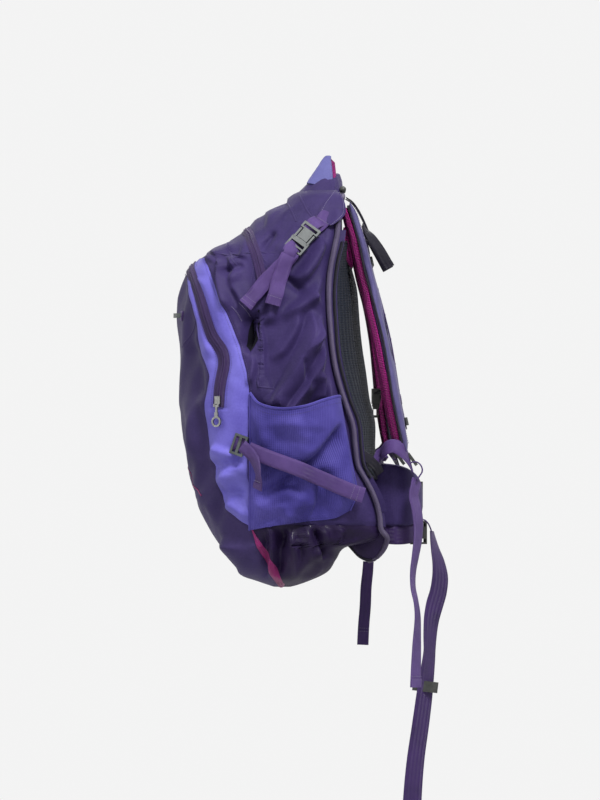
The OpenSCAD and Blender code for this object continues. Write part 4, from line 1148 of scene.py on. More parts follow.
# ---- the grab loop, the flap over the frame, the wings
def loft(rings):
    """Closed solid through rings of points."""
    rings = np.asarray(rings, float)
    return tube_solid(rings, rings[len(rings) // 2], rings[:, 0])


def squarish(w, h, power, n, up=0.0):
    """Outline of a rounded block w wide and h high."""
    a = circle_angles(n)
    c, s = np.cos(a), np.sin(a)
    return np.stack([w / 2 * np.sign(c) * np.abs(c) ** power, h / 2 * np.sign(s) * np.abs(s) ** power + up],
                    1)


def set_points(ob, co):
    ob.data.vertices.foreach_set("co", np.asarray(co, np.float32).ravel())
    ob.data.update()


def points_of(ob):
    co = np.empty(len(ob.data.vertices) * 3, np.float32)
    ob.data.vertices.foreach_get("co", co)
    return co.reshape(-1, 3).astype(float)


def puff(ob, pressure, grow, cap, frames=16, bend=0.6):
    """Fills a closed piece with simulated stuffing, so that its cloth bulges and wrinkles."""
    rest = points_of(ob)
    move = (run_cloth(ob, frames, pressure, grow, bend=bend) - rest) / MM
    set_points(ob, rest + capped(move - move.mean(0), cap) * MM)


LOOP = [(-12, -36, -38.6), (-9, -29, -30), (-5, -18, -16), (-2, -7, -4), (0, 0, 0)]
LOOP_W = [34, 31, 21, 12, 8]
LOOP_UP = [(0, -0.86, 0.5), (0, -0.8, 0.6), (0, -0.78, 0.63), (0, -0.6, 0.8), (0, 0, 1)]


def make_loop():
    right = [(*p, w, *up) for p, w, up in zip(LOOP, LOOP_W, LOOP_UP)]
    left = [(x, -y, z, w, a, -b, c) for x, y, z, w, a, b, c in right[-2::-1]]
    q = even(smooth(right + left, 10), 2.0)
    p, w, up = q[:, :3], q[:, 3], unit(q[:, 4:])
    ripple = np.array([noise.noise((k * 0.21, 3.1, 0)) for k in range(len(p))])
    p = p + up * ripple[:, None] * 0.8
    band = [tape_profile(a, 2.6, 0.3) for a in w]
    mesh_piece("haul_loop_band", [sweep(p, up, np.array(band))], LOOP_CLOTH, "pack",
               ["haul_loop"])
    shift = np.clip(np.abs(p[:, 1]) / 9, 0, 1)[:, None] * np.array([[8.0, 0, 0]])
    inner = p + shift - up * 1.6
    mesh_piece("haul_loop_lining", [sweep(inner, up, np.array([tape_profile(max(4, a - 7),
                                                                            1.4) for a in w]))],
               MAGENTA, "pack")
    side = unit(np.cross(tangents(p), up))
    rows = [dashes(p + side * (w / 2 - 2.2)[:, None] * s, up, 3.0, 2.0, 0.25, 2.8) for s in (-1, 1)]
    mesh_piece("haul_loop_stitches", rows, THREAD, "pack")


def make_flap():
    """Dark cloth cap over the top of the frame, that the loop's two legs come out of."""
    table = [(-20, 2, 11, 22), (-21.2, -6, 14, 29), (-25, -14, 15.5, 36), (-31, -24, 17, 43),
             (-37, -31, 17.5, 50), (-43, -37, 18, 57), (-49, -44, 18, 65), (-56, -53, 17, 73)]
    k = smooth(table, 4)
    a = circle_angles(84)
    c, s = np.cos(a), np.sin(a)
    rings = []
    for z, x0, x1, y in k:
        wave = np.array([noise.noise((math.cos(b) * 2.2, math.sin(b) * 2.2, z * 0.06)) for b in a]) * 2.2
        shape = np.stack([(x0 + x1) / 2 + ((x1 - x0) / 2 + wave * 1.3) * np.sign(c) * np.abs(c) ** 0.55,
                          (y + wave) * np.sign(s) * np.abs(s) ** 0.7, np.full(84, z) - 6 * np.abs(s) ** 3],
                         -1)
        rings.append(shape)
    mesh_piece("top_flap", [loft(rings)], DARK, "pack")


def turned_over(places, left):
    """Webbing bent over a buckle's bar, along places (x, depth, height off the panel)."""
    over = smooth(places, 6)
    p, n = on_bag([tuple(a[:2]) for a in over], 0.0, left, 1.5)
    rise = np.interp(np.linspace(0, 1, len(p)), np.linspace(0, 1, len(over)), over[:, 2])
    return sweep(p + n * (PANEL_T + rise)[:, None], n, tape_profile(19, WEBBING_T))


def make_wings():
    """Triangular wings that brace the top corners, with the compression strap's loop sewn to the tip."""
    wings, bars, rows, anchors, ties = [], [], [], [], []
    f = [(4, 44, 9, 47), (-1, 52, 10, 56), (-7, 60, 10, 65), (-13, 69, 9, 75), (-18, 76, 5, 82),
         (-22, 81, -1, 89)]
    g = smooth(f, 5)
    for left in (False, True):
        s = np.linspace(0, 1, 14)
        x = g[:, :1] * (1 - s) + g[:, 2:3] * s
        d = g[:, 1:2] * (1 - s) + g[:, 3:4] * s
        crest = (2 + 7 * s[None] ** 2) * np.sin(np.linspace(0.25, 2.6, len(g)))[:, None]
        outer, inner = bag_at(x, d, PANEL_T + 3.0 + crest, left), bag_at(x, d, PANEL_T + 1.2 + crest, left)
        wings.append(closed_sheet(outer, inner))
        for col in (1, -2):
            rows.append(dashes(outer[:, col], unit(outer[:, col] - inner[:, col]), 3.0, 2.0, 0.25, 0.2))
        q = np.linspace(0.08, 0.92, 22)
        bar = np.stack([-22 * (1 - q) - 1 * q, 80.5 * (1 - q) + 88 * q], 1)
        for k in range(3):
            line, n = on_bag([(x1 + k * 1.1, d1 - 2.4 - k * 1.3) for x1, d1 in bar], PANEL_T + 4.0, left,
                             1.0)
            bars.append(dashes(line, n, 1.7, 1.5, 0.5, 0.3))
        p, n = on_bag([(-2, 72), (-8, 79), (-14, 86), (-21, 92.5)], PANEL_T + 4.4, left, 2.0)
        anchors.append(webbing(*steady(p, n), WEBBING_W, WEBBING_T, 2.0))
        p2, n2 = on_bag([(-21.5, 93), (-15, 87), (-9, 80.5)], PANEL_T + 2.6, left, 2.0)
        anchors.append(webbing(*steady(p2, n2), WEBBING_W, WEBBING_T, 2.0))
        ties.append(cross_rows(p, n, WEBBING_W, len(p) // 2, 1.9))
        anchors.append(turned_over([(-13, 85.5, 4.6), (-18, 90, 7.6), (-22.5, 94, 9.3), (-26, 97.5, 8.2),
                                    (-27.6, 99.5, 4.5)], left))
    mesh_piece("stabiliser_wing_cloth", wings, DARK, "pack", ["stabiliser_wings"])
    mesh_piece("stabiliser_wing_tacks", bars, BINDING, "pack")
    mesh_piece("stabiliser_wing_stitches", rows + ties, THREAD, "pack")
    mesh_piece("upper_anchor_webbing", anchors, WEBBING, "pack", ["upper_anchors"])
    knob = [loft([np.stack([19 + r * np.cos(a), np.full(16, y), -42 + r * np.sin(a)], -1)
                  for a in [circle_angles(16)]
                  for r, y in [(1.5, s * 34), (3.6, s * 35), (4.3, s * 38), (4.3, s * 42), (3.4, s * 45),
                               (1.2, s * 46)]])
            for s in (-1, 1)]
    mesh_piece("frame_knobs", knob, INK_PLASTIC, "pack")


def make_webbing():
    runs, tails, tabs, rows, cloth = [], [], [], [], []
    t = WEBBING_T
    for left in (False, True):
        p, n = steady(*on_bag([(-46, 121), (-52, 130), (-66, 145), (-88, 170), (-107, 193)],
                              lambda x, d: PANEL_T + 2.2 + 1.6 * np.sin(np.clip((d - 121) / 70, 0,
                                                                                1) * math.pi),
                              left, 2.0), 8)
        runs.append(webbing(p, n, WEBBING_W, t, 2.0))
        rows.append(cross_rows(p, n, WEBBING_W, -3, t))
        rows.append(cross_rows(p, n, WEBBING_W, -6, t))
        p, n = steady(*on_bag([(-50, 125), (-58, 133), (-63, 149), (-70, 170), (-76, 193)],
                              lambda x, d: PANEL_T + 5.6 + 2.6 * np.sin(np.clip((d - 125) / 66, 0,
                                                                                1) * math.pi),
                              left, 2.0), 8)
        tails += [webbing(p, n, WEBBING_W, t, 2.0), folded_end(p, n, WEBBING_W, t, 15)]
        rows.append(cross_rows(p, n, WEBBING_W, -6, 2 * t))
        tabs.append(turned_over([(-43, 117.5, 3), (-45, 120, 7.4), (-48.5, 124, 9.4), (-52, 128, 8.6),
                                 (-55.5, 132, 5.6)], left))
        off = lambda x, d: 2.6 + above_pocket(x, d)
        p, n = steady(*on_bag([(-99, 381), (-78, 391), (-50, 403), (-20, 417), (8, 430), (31, 441)],
                              off, left, 3.0), 8)
        n = unit(n * [0.3, 1, 0.3])
        runs.append(webbing(p, n, WEBBING_W, t, 2.0))
        rows.append(cross_rows(p, n, WEBBING_W, -3, t))
        rows.append(cross_rows(p, n, WEBBING_W, -5, t))
        p, n = steady(*on_bag([(-106, 377), (-97, 385), (-91, 394), (-87, 408), (-85, 422), (-86, 432)],
                              lambda x, d: 6.6 + above_pocket(x, d), left, 2.0), 8)
        lean = np.radians(np.interp(np.linspace(0, 1, len(p)), [0, 0.3, 0.7, 1], [0, 30, 66, 40]))[:, None]
        n = unit(n * [0.3, 1, 0.3])
        n = unit(n * np.cos(lean) + unit(np.cross(tangents(p), n)) * np.sin(lean))
        tails += [sweep(p, n, tape_profile(16, t)), folded_end(p, n, 16, t, 14)]
        rows.append(cross_rows(p, n, 16, -6, 2 * t))
        p, n = on_bag([(-121, 372), (-115, 374), (-108, 377)], PANEL_T + 1.2, left, 2.0)
        tabs.append(webbing(p, n, WEBBING_W, t, 2.0))
        for x, d in [(-107, 198), (-117, 205)]:
            rows.append(dashes(*on_bag([(x - 7, d - 8), (x, d), (x + 5, d + 9)], PANEL_T + 0.6, left, 2),
                               2.4, 1.8))
        flap = np.array([(-112, 184, -84, 208), (-110, 188, -87, 211), (-108, 193, -90, 214),
                         (-106, 198, -93, 217)])
        s = np.linspace(0, 1, 12)
        x, d = (flap[:, k:k + 1] * (1 - s) + flap[:, k + 2:k + 3] * s for k in (0, 1))
        lift = PANEL_T + np.array([0.6, 2.6, 3.4, 1.2])[:, None]
        cloth.append(closed_sheet(bag_at(x, d, lift, left), bag_at(x, d, lift - 1.4, left)))
    mesh_piece("compression_webbing", runs[0::2] + tails[0:2] + tails[4:6] + tabs[0::2], WEBBING, "pack",
               ["upper_webbing"])
    mesh_piece("lower_compression_webbing", runs[1::2] + tails[2:4] + tails[6:8] + tabs[1::2], WEBBING,
               "pack",
               ["lower_webbing"])
    mesh_piece("compression_stitches", rows, THREAD, "pack")
    mesh_piece("anchor_flaps", cloth, DARK, "pack")


def make_gear_tab():
    d, u = 207.0, 158.0
    n = bag_normal(np.array([d]), np.array([u]))[0]
    c = bag(np.array([d]), np.array([u]), PANEL_T + 0.4)[0]
    side = unit(np.cross(n, [0, 0, 1]))
    line = np.array([c + side * s for s in np.linspace(-9, 9, 9)])
    mesh_piece("gear_tab_webbing", [sweep(line, np.repeat(n[None], 9, 0), tape_profile(13, 1.6))], WEBBING,
               "pack",
               ["gear_tab"])
    ends = [dashes(np.array([line[k] + np.array([0, 0, z]) for z in (-5.5, 0, 5.5)]), n, 1.7, 1.5, 0.4, 1.9)
            for k in (1, 2, 6, 7)]
    mesh_piece("gear_tab_tacks", ends, THREAD, "pack")


make_loop()
make_flap()
make_wings()
make_webbing()
make_gear_tab()


# ---- frame, its binding, the back mesh and the lumbar pad
BINDING_R = 3.6
ARCH = [(110, 0.25), (140, 0.55), (172, 0.88), (219, 0.97), (266, 1), (312, 0.84), (359, 0.6), (406, 0.5),
        (414, 0.5)]


def binding_path():
    side = [tuple(skin(d, REAR_U, PANEL_T + BINDING_R + 0.5))
            for d in [56, 66, 80, *range(100, 401, 25), 412, 427, 440, 455, 470, 485]]
    foot = [(76, -116, -496), (72, -108, -510), (62, -98, -521), (54, -84, -525)]
    top_x = float(curve(REAR_X, 56)) + PANEL_T + BINDING_R + 0.6
    right = [(top_x, -0.4, -50), (top_x, -30, -50.4), (top_x, -52, -52), *side, *foot]
    left = [(x, -y, z) for x, y, z in right[::-1]]
    return even(smooth(right + left, 8), 3.0)


def make_frame():
    p = binding_path()
    profile = round_profile(4.3, 14, 0.0, 0.78)
    n = np.tile([1.0, 0, 0], (len(p), 1))
    mesh_piece("edge_binding_tape", [sweep(p, n, profile)], BINDING, "pack", ["edge_binding"])
    outward = np.stack([np.full(len(p), 0.35), np.sign(p[:, 1]) * 0.9, np.full(len(p), 0.0)], -1)
    near = np.abs(p[:, 1]) > 60
    cut = np.flatnonzero(near)
    halves = [cut[p[cut, 1] < 0], cut[p[cut, 1] > 0]]
    rows = [dashes(p[h] + unit(outward[h]) * 3.9, unit(outward[h]), 3.0, 2.1, 0.24, 0.0) for h in halves]
    rows += [dashes(p[h] + np.array([-2.0, 0, 0]) + unit(outward[h]) * 3.4, unit(outward[h]), 3.0, 2.1,
                    0.24, 0.0)
             for h in halves]
    mesh_piece("edge_binding_stitches", rows, THREAD, "pack")
    edge = smooth([(48, -117, -402), (60, -118, -430), (71, -118, -460), (74, -116, -488), (68, -111, -510),
                   (56, -104, -524), (42, -100, -521), (29, -98, -508), (20, -98, -499)], 8)
    root = smooth([(44, -114, -402), (46, -114, -430), (47, -113, -455), (46, -111, -477), (42, -108, -487),
                   (37, -104, -493), (31, -101, -496), (25, -99, -497), (20, -98, -497)], 8)
    k = np.linspace(0, 1, 14)[None, :, None]
    grid = root[:, None] * (1 - k) + edge[:, None] * k
    grid[..., 1] -= np.sin(k[..., 0] * math.pi) * 5.0 * np.clip(np.linspace(0.2, 1.6, len(edge)), 0,
                                                                1)[:, None]
    grid[..., 0] += np.sin(grid[..., 2] * 0.16) * np.sin(k[..., 0] * math.pi) * 1.6
    cut = int(np.argmin(np.abs(edge[:len(edge) // 2 + 4, 2] + 481)))
    for name, part, material, slot in (("frame_skirt", grid[:cut + 1], SHADE, "bag_dark"),
                                       ("frame_skirt_foot", grid[cut:], PLUM, "base_plum")):
        sides = [closed_sheet(g, g + np.array([0, s * 1.3, 0])) for g,
                 s in ((part, 1), (mirrored(part), -1))]
        mesh_piece(name, sides, material, "pack")
    hems = [sweep(q, (0, s, 0), round_profile(2.2, 10)) for q,
            s in ((edge[40:], -1), (mirrored(edge[40:]), 1))]
    mesh_piece("frame_skirt_hem", hems, INK_WEBBING, "pack")
    band = []
    for s in (-1, 1):
        x, y, z = 50, s * 118, -398
        line = smooth([(x - 6, y * 0.99, z + 10), (x + 4, y * 1.02, z + 2), (x + 12, y * 1.0, z - 6),
                       (x + 16, y * 0.94, z - 14)], 6)
        band.append(webbing(line, (0.2, s, 0.2), 13, 1.6, 2.0))
    mesh_piece("frame_tabs", band, INK_WEBBING, "pack")


def mesh_at(d, s, x):
    edge = skin(d, REAR_U)
    return np.stack([edge[..., 0] + 12 + 30 * curve(ARCH, d) * (1 - s * s) + x,
                     (-edge[..., 1] - BINDING_R - 3) * s, -d], -1)


def make_back_mesh():
    d, s = np.meshgrid(np.linspace(112, 418, 120), np.linspace(-1, 1, 181), indexing="ij")
    rib = np.abs(np.sin(s * math.pi * 11)) ** 0.7 * 1.5
    warp = np.vectorize(lambda a, b: noise.noise((a * 0.02, b * 3, 1.7)))(d, s) * 1.2
    outer, inner = mesh_at(d, s, 2.1 + rib + warp), mesh_at(d, s, warp - 0.4)
    ob = mesh_piece("back_mesh_net", [closed_sheet(outer, inner)], BACK_NET, "pack", ["back_mesh"])
    middle = (outer + inner) / 2
    rims = [sweep(middle[k], (1, 0, 0), round_profile(2.6, 10, 0, 0.9)) for k in (0, -1)]
    rims += [sweep(middle[:, k], (1, 0, 0), round_profile(2.8, 10, 0, 0.9)) for k in (0, -1)]
    rim = mesh_piece("back_mesh_rim", rims, INK_WEBBING, "pack")
    edge = []
    for side in (-1, 1):
        dd = np.linspace(96, 462, 120)
        a = skin(dd, REAR_U)
        wall = np.stack([a + np.array([2.0, 0, 0]), a + np.array([9.0, 0, 0]), a + np.array([16.0, 0, 0])],
                        1)
        wall[..., 1] = side * (-wall[..., 1] - 5.5)
        edge.append(closed_sheet(wall, wall + np.array([0, -side * 1.4, 0])))
    mesh_piece("back_mesh_walls", edge, DARK, "pack")


def make_lumbar():
    rings = []
    for y in np.linspace(-76, 76, 60):
        g = 1 - (abs(y) / 77) ** 4
        k = squarish(80 * max(g, 0.02) ** 0.3, 13 * max(g, 0.02) ** 0.5, 0.62, 40)
        d = 460 - k[:, 0]
        x = curve(REAR_X, np.clip(d, 424, 497)) + PANEL_T + 6.5 + k[:, 1] + 9 * (1 - (y / 76) ** 2)
        rings.append(np.stack([x, np.full(40, y), -d], -1))
    ob = mesh_piece("lumbar_cushion", [loft(rings)], BACK_NET, "pack", ["lumbar_pad"])
    puff(ob, 1.2, 0.06, 3.0)
    ys = np.linspace(-84, 84, 90)
    swell = 7.2 * (1 - (np.abs(ys) / 86) ** 6) ** 0.5
    wrinkle = np.array([noise.noise((y * 0.11, 2.2, 0)) for y in ys])
    roll = np.stack([np.full(90, 57.0) + wrinkle * 1.5, ys, np.full(90, -514.0) + wrinkle], -1)
    fold = mesh_piece("frame_foot_roll",
                      [sweep(roll, (0, 0, 1), np.array([round_profile(r, 16) for r in swell]))],
                      SHADE, "pack")


def make_inside():
    yoke = np.stack(np.meshgrid(np.linspace(-62, 62, 60), np.linspace(-62, -98, 22)), -1)
    x = 14.6 + 1.2 * np.cos(yoke[..., 0] * 0.05) + np.where(np.abs(yoke[..., 0]) > 50, 0.6, 0)
    outer = np.stack([x + 2.4, yoke[..., 0], yoke[..., 1]], -1)
    mesh_piece("shoulder_yoke_cloth", [closed_sheet(outer, outer - np.array([2.4, 0, 0]))], SHADE, "pack",
               ["shoulder_yoke"])
    d, y = np.meshgrid(np.linspace(110, 390, 60), np.linspace(-78, 78, 40), indexing="ij")
    wavy = np.sin(y * 0.09) * 0.9 + np.sin(d * 0.05 + y * 0.04) * 0.8
    outer = np.stack([curve(REAR_X, d) - 24.6 + wavy, y, -d], -1)
    ob = mesh_piece("hydration_sleeve_cloth", [closed_sheet(outer, outer - np.array([1.4, 0, 0]))], SHADE,
                    "pack",
                    ["hydration_sleeve"])


make_frame()
make_back_mesh()
make_lumbar()
make_inside()


# ---- shoulder straps
STRAP = [(26, -40, -66), (38, -50, -107), (48, -61, -153), (59, -73, -193), (70, -82, -238),
         (77, -88, -278),
         (83, -92, -317), (91, -94, -356), (97, -95, -384)]
LEFT_SHIFT = [0, 0, 0, 0, 3, 6, 9, 12, 14]
LIFTER = [(24.4, -44, -54.6), (32, -47, -60.4), (41, -51, -74), (50, -55, -94), (56, -58, -114)]
LIFTER_TAIL = [(46, -62, -90), (50, -66, -98), (57, -69, -108), (66, -71, -122), (73, -71, -134),
               (79, -70, -145)]


def strap_line(side, step=5.0):
    shift = LEFT_SHIFT if side == "left" else [0] * 9
    p = even(smooth([(x - k, y, z) for (x, y, z), k in zip(STRAP, shift)], 8), step)
    t = tangents(p)
    n = unit(np.cross(t, [0.0, 1.0, 0.0]))
    share = np.linspace(0, 1, len(p))
    w = 62 * np.interp(share, [0, 0.04, 0.16, 0.8, 0.93, 1], [0.62, 0.74, 0.98, 1, 0.8, 0.66])
    if side == "left":
        p, n = mirrored(p), mirrored(n)
    return p, n, w


def on_strap(side, across, up, a=0.0, b=1.0):
    """A line along a strap from share a to b: across in half widths outwards, up off its middle."""
    p, n, w = strap_line(side, 2.5)
    out = unit(np.cross(tangents(p), n)) * (1 if side == "right" else -1)
    keep = slice(int(a * (len(p) - 1)), int(b * (len(p) - 1)) + 1)
    across = np.broadcast_to(across, len(p))
    return (p + out * (across * w / 2)[:, None] + n * up)[keep], n[keep]


def spot_on_strap(side, up, a, b):
    """A point on a strap's middle line, the way across it, and its normal."""
    q, m = on_strap(side, 0.0, up, a, b)
    return q[0], unit(np.cross(tangents(q)[0], m[0])), m


def make_strap(side):
    body = f"strap_{side}"
    p, n, w = strap_line(side)
    ends = np.sqrt(np.clip(1 - np.abs(np.linspace(-1, 1, len(p))) ** 14, 0.05, 1))
    shell = [squarish(a, 11.5 * e, 0.72, 40, 3.6) for a, e in zip(w, ends)]
    ob = mesh_piece(f"{body}_shell", [sweep(p, n, np.array(shell))], STRAP_SHELL, body,
                    [body])
    puff(ob, 1.2, 0.05, 1.8)
    pads = []
    groove = np.abs(circle_angles(48) - 1.5 * math.pi)
    for a, e in zip(w, ends):
        s = squarish(a - 5, 13.0 * e, 0.7, 48, -5.4)
        s[:, 1] += np.exp(-(groove / 0.13) ** 2) * 3.2 * (s[:, 1] < -5)
        pads.append(s)
    lining = mesh_piece(f"{body}_lining_mesh", [sweep(p, n, np.array(pads))], MAGENTA, body,
                        [f"strap_lining_{side}"])
    puff(lining, 1.0, 0.05, 1.6)
    edges, rows = [], []
    for s in (-1, 1):
        q, m = on_strap(side, s * 0.985, 0.2, 0.01, 0.99)
        edges.append(sweep(q, m, round_profile(1.7, 9)))
        q, m = on_strap(side, s * 0.82, 8.9, 0.03, 0.97)
        rows.append(dashes(q, m, 3.0, 2.0, 0.24, 0.1))
    mesh_piece(f"{body}_edging", edges, INK_WEBBING, body)
    rail, loops = [], []
    q, m = on_strap(side, 0.0, 9.7, 0.2, 0.92)
    rail.append(webbing(q, m, 12, 1.4, 2.5))
    for at in (0.26, 0.36, 0.46, 0.56, 0.66, 0.76, 0.86):
        spot, out, m = spot_on_strap(side, 11.1, at, at + 0.012)
        loops.append(dashes(np.array([spot + out * k for k in (-5, 0, 5)]), m[0], 1.4, 1.4, 0.45, 0.2))
    for at, long in ((0.175, 17), (0.80, 13)):
        spot, out, m = spot_on_strap(side, 10.4, at, at + 0.03)
        band = np.array([spot + out * k - m[0] * (abs(k) / 24) ** 3 * 7 for k in np.linspace(-25, 25, 22)])
        rail.append(sweep(band, np.repeat(m[:1], 22, 0), tape_profile(long, 1.5)))
    mesh_piece(f"{body}_rail", rail, DEEP_WEBBING, body)
    mesh_piece(f"{body}_stitches", rows + loops, THREAD, body)
    keepers = []
    for a, b, w, h in ((0.225, 0.25, 15, 3.4), (0.875, 0.905, 20, 5.0)):
        q, m = on_strap(side, 0.0, 12.2, a, b)
        keepers.append(sweep(even(q, 2.0), m[0], squarish(w, h, 0.5, 16)))
    mesh_piece(f"{body}_keepers", keepers, INK_PLASTIC, body)


def make_leaf(side):
    """Folded leaf of lining that hangs at the root of a strap."""
    s = 1 if side == "right" else -1
    line = smooth([(22, -58, -92), (22.5, -60, -106), (25, -62, -122), (29, -62, -138), (31, -61, -145)],
                  6) * [1, s, 1]
    w = smooth([(5, 0), (10, 0), (12, 0), (8, 0), (1.5, 0)], 6)[:, 0]
    profile = np.array([squarish(a, 3.4, 0.8, 18) for a in w])
    facing = np.tile([-0.45, -s * 0.9, 0.1], (len(line), 1))
    mesh_piece(f"strap_{side}_leaf", [sweep(line, unit(facing), profile)], MAGENTA, f"strap_{side}")


def make_lifter(side):
    """Load lifter: from the frame over the strap's buckle, with its loose tail."""
    s = 1 if side == "right" else -1
    line = even(smooth(LIFTER, 8), 2.0) * [1, s, 1]
    tail = even(smooth(LIFTER_TAIL, 8), 2.0) * [1, s, 1]
    up = unit(np.cross(tangents(line), [0.0, 1.0, 0.0]))
    turn = np.linspace(1, 0, len(tail))[:, None] ** 2
    facing = unit(unit(np.cross(tangents(tail),
                                [0.0, 1.0, 0.0])) * turn + np.array([[0.15, -s, 0.1]]) * (1.15 - turn))
    parts = [webbing(line, up, 15, 1.5, 2.0), webbing(tail, facing, 15, 1.5, 2.0),
             folded_end(tail, facing, 15, 1.5, 10)]
    bar = np.array([[55.5, y * s, -113.5] for y in np.linspace(-69, -48, 8)])
    parts.append(sweep(bar, (0.7, 0, 0.7), squarish(9, 3.6, 0.5, 14, 1.2)))
    ob = mesh_piece(f"load_lifter_{side}_webbing", parts, INK_WEBBING, None,
                    [f"load_lifter_{side}"])
    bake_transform(ob)


def make_adjuster(side):
    """Webbing that comes up behind the hip wing, arches over and turns into the strap's ladder lock."""
    s = 1 if side == "right" else -1
    dx = 0 if side == "right" else -14
    route = [(75, -73, -428), (67.5, -80, -408), (68, -100, -391), (75, -117, -380), (85, -122, -377),
             (94 + dx * 0.5, -120, -382), (102 + dx, -112, -393), (107.5 + dx, -102, -406)]
    facing = [(0.9, -0.2, 0.1), (0.8, -0.5, 0.1), (0.2, -0.8, 0.5), (-0.1, -0.9, 0.5), (0.1, -0.9, 0.45),
              (0.4, -0.8, 0.4), (0.7, -0.5, 0.5), (0.85, -0.2, 0.5)]
    q = even(smooth([(*a, *b) for a, b in zip(route, facing)], 10), 2.0)
    p, n = q[:, :3] * [1, s, 1], unit(q[:, 3:] * [1, s, 1])
    around = smooth([(105, -101, -400), (113, -101, -398), (119, -101, -402), (121, -101, -409),
                     (117, -102, -416),
                     (113.5, -103, -421)], 6) * [1, s, 1] + [dx, 0, 0]
    hold = smooth([(94, -95, -376), (100, -95.5, -386), (104.5, -96, -391.5), (101.5, -96, -395),
                   (95.5, -95.5, -388)], 6) * [1, s, 1] + [dx, 0, 0]
    up = lambda c: unit(np.cross(tangents(c), [0.0, 1.0, 0.0]))
    parts = [sweep(p, n, tape_profile(WEBBING_W, WEBBING_T)), webbing(hold, up(hold), WEBBING_W, WEBBING_T,
                                                                      2.0)]
    if side == "right":
        parts.append(webbing(around, up(around), WEBBING_W, WEBBING_T, 2.0))
    ob = mesh_piece(f"adjuster_{side}_webbing", parts, WEBBING, None, [f"adjuster_{side}"])
    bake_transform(ob)


def make_sternum(side):
    body = f"sternum_{side}"
    s = -1 if side == "right" else 1
    x = 58 if side == "right" else 57
    y = -55 if side == "right" else 53
    line = smooth([(x + 4.5, y, -308), (x + 7, y, -313), (x + 5.5, y, -319), (x + 4.5, y, -326)], 6)
    join = smooth([(x + 4.5, y + s * 2, -309), (x + 12, y + s * 10, -306), (x + 20, y + s * 20, -305)], 6)
    mesh_piece(f"{body}_webbing", [webbing(line, (0, s, 0), 8, 1.4, 1.5), webbing(join, (0.5, s * 0.5, 0.7),
                                                                                  9, 1.4, 1.5)],
               INK_WEBBING, body)


for side in ("right", "left"):
    make_strap(side)
    make_leaf(side)
    make_lifter(side)
    make_adjuster(side)
    make_sternum(side)


# ---- hip belt
WING = [(58, -80), (68, -83), (77, -84), (89, -85), (101, -78), (111, -62), (117, -42)]
WING_TOP = [(0, -401), (0.2, -402), (0.45, -406), (0.7, -414), (0.88, -424), (1, -433)]
WING_FOOT = [(0, -478), (0.3, -479), (0.6, -478), (0.85, -471), (1, -457)]
BELT = [(64, -82), (77, -84), (88, -84.5), (98, -80), (104, -75), (110, -66)]


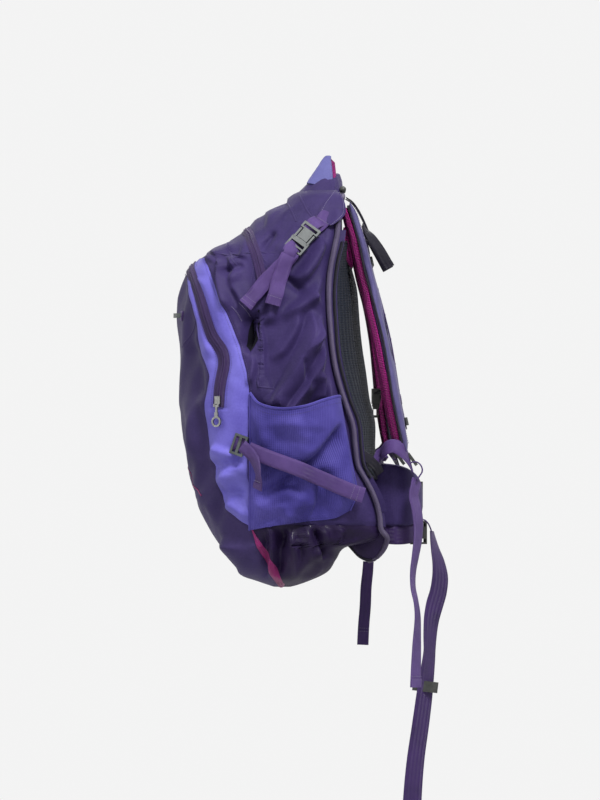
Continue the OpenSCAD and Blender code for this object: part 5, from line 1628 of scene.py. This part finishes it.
def make_hip(side):
    body = f"wing_{side}"
    s = 1 if side == "right" else -1
    q = even(smooth(WING, 8), 3.0)
    share = np.linspace(0, 1, len(q))
    top, low = curve(WING_TOP, share), curve(WING_FOOT, share)
    p = np.stack([q[:, 0], q[:, 1], (top + low) / 2], 1) * [1, s, 1]
    flat = np.stack([q[:, 0], q[:, 1] * s, np.zeros(len(q))], 1)
    t = tangents(flat)
    n = unit(np.cross([0, 0, 1.0], t)) * (-s)
    ends = np.sqrt(np.clip(1 - np.abs(np.linspace(-1, 1, len(p))) ** 10, 0.06, 1))
    rings = []
    for k in range(len(p)):
        prof = squarish(top[k] - low[k], 13 * ends[k], 0.5, 40)
        rings.append(p[k] + np.array([[0, 0, 1.0]]) * prof[:, :1] + n[k] * prof[:, 1:])
    ob = mesh_piece(f"hip_{body}_cloth", [loft(rings)], DARK, body, [body])
    puff(ob, 1.0, 0.08, 3.0)
    edge, rows = [], []
    for z, off in ((top, -0.6), (low, 0.6)):
        line = np.stack([p[:, 0], p[:, 1], z + off], 1)[1:-1]
        edge.append(sweep(line, n[1:-1], round_profile(2.0, 10)))
        line = line + n[1:-1] * 5.2 + np.array([0, 0, -4.5 if off < 0 else 4.5])
        rows.append(dashes(line, n[1:-1], 3.0, 2.0, 0.24, 0.3))
    mesh_piece(f"{body}_edging", edge, INK_WEBBING, body)
    mesh_piece(f"{body}_stitches", rows, DIM_THREAD, body)
    b = even(smooth([(x, y, 0) for x, y in BELT], 8), 2.0)
    b[:, 2] = -489.5 - 3.0 * np.sin(np.linspace(0, math.pi, len(b)))
    b[:, 1] -= 2.2 * np.exp(-((np.linspace(0, 1, len(b)) - 0.42) / 0.09) ** 2)
    b = b * [1, s, 1]
    m = unit(np.cross([0, 0, 1.0], tangents(b))) * (-s)
    mesh_piece(f"belt_webbing_{side}_strap", [sweep(b, m, tape_profile(25, 1.8))], DEEP_WEBBING, body,
               [f"belt_webbing_{side}"])


for side in ("right", "left"):
    make_hip(side)
turn = smooth([(113, -58, -481), (118, -58, -476), (124, -59, -474), (129, -60, -478), (132, -61, -484),
               (134, -62, -490)], 6)
mesh_piece("hip_webbing_turn", [webbing(turn, unit(np.cross(tangents(turn), [0.0, 1.0, 0.0])), 25,
                                        WEBBING_T, 2.0)],
           DEEP_WEBBING, "wing_right")


# ---- hard parts that keep their CAD form
def dress(name, material, soften=0.0007):
    """Gives a CAD node its material, and rounds its edges by soften."""
    ob = CAD[name]
    ob.data.materials.clear()
    ob.data.materials.append(material)
    mod = ob.modifiers.new("soft_edges", "BEVEL")
    mod.width, mod.segments, mod.limit_method, mod.angle_limit = soften, 2, "ANGLE", math.radians(35)
    mod.use_clamp_overlap = True
    normals = ob.modifiers.new("even_normals", "WEIGHTED_NORMAL")
    normals.keep_sharp = True


for name in ("buckle_sockets", "buckle_plugs", "ladder_locks", "gear_hook"):
    dress(name, PLASTIC)
for name in CAD:
    if name.startswith("arm_"):
        dress(name, PLASTIC)
    elif name.startswith(("strap_lock", "sternum", "wing_lock", "hip_socket", "hip_plug", "hip_triglide")):
        dress(name, INK_PLASTIC)
    elif "slider" in name or "zip_pull" in name:
        dress(name, STEEL, 0.0004)
dress("frame_wire", STEEL, 0.0002)
dress("frame_sheet", WHITE_SHEET, 0.0002)
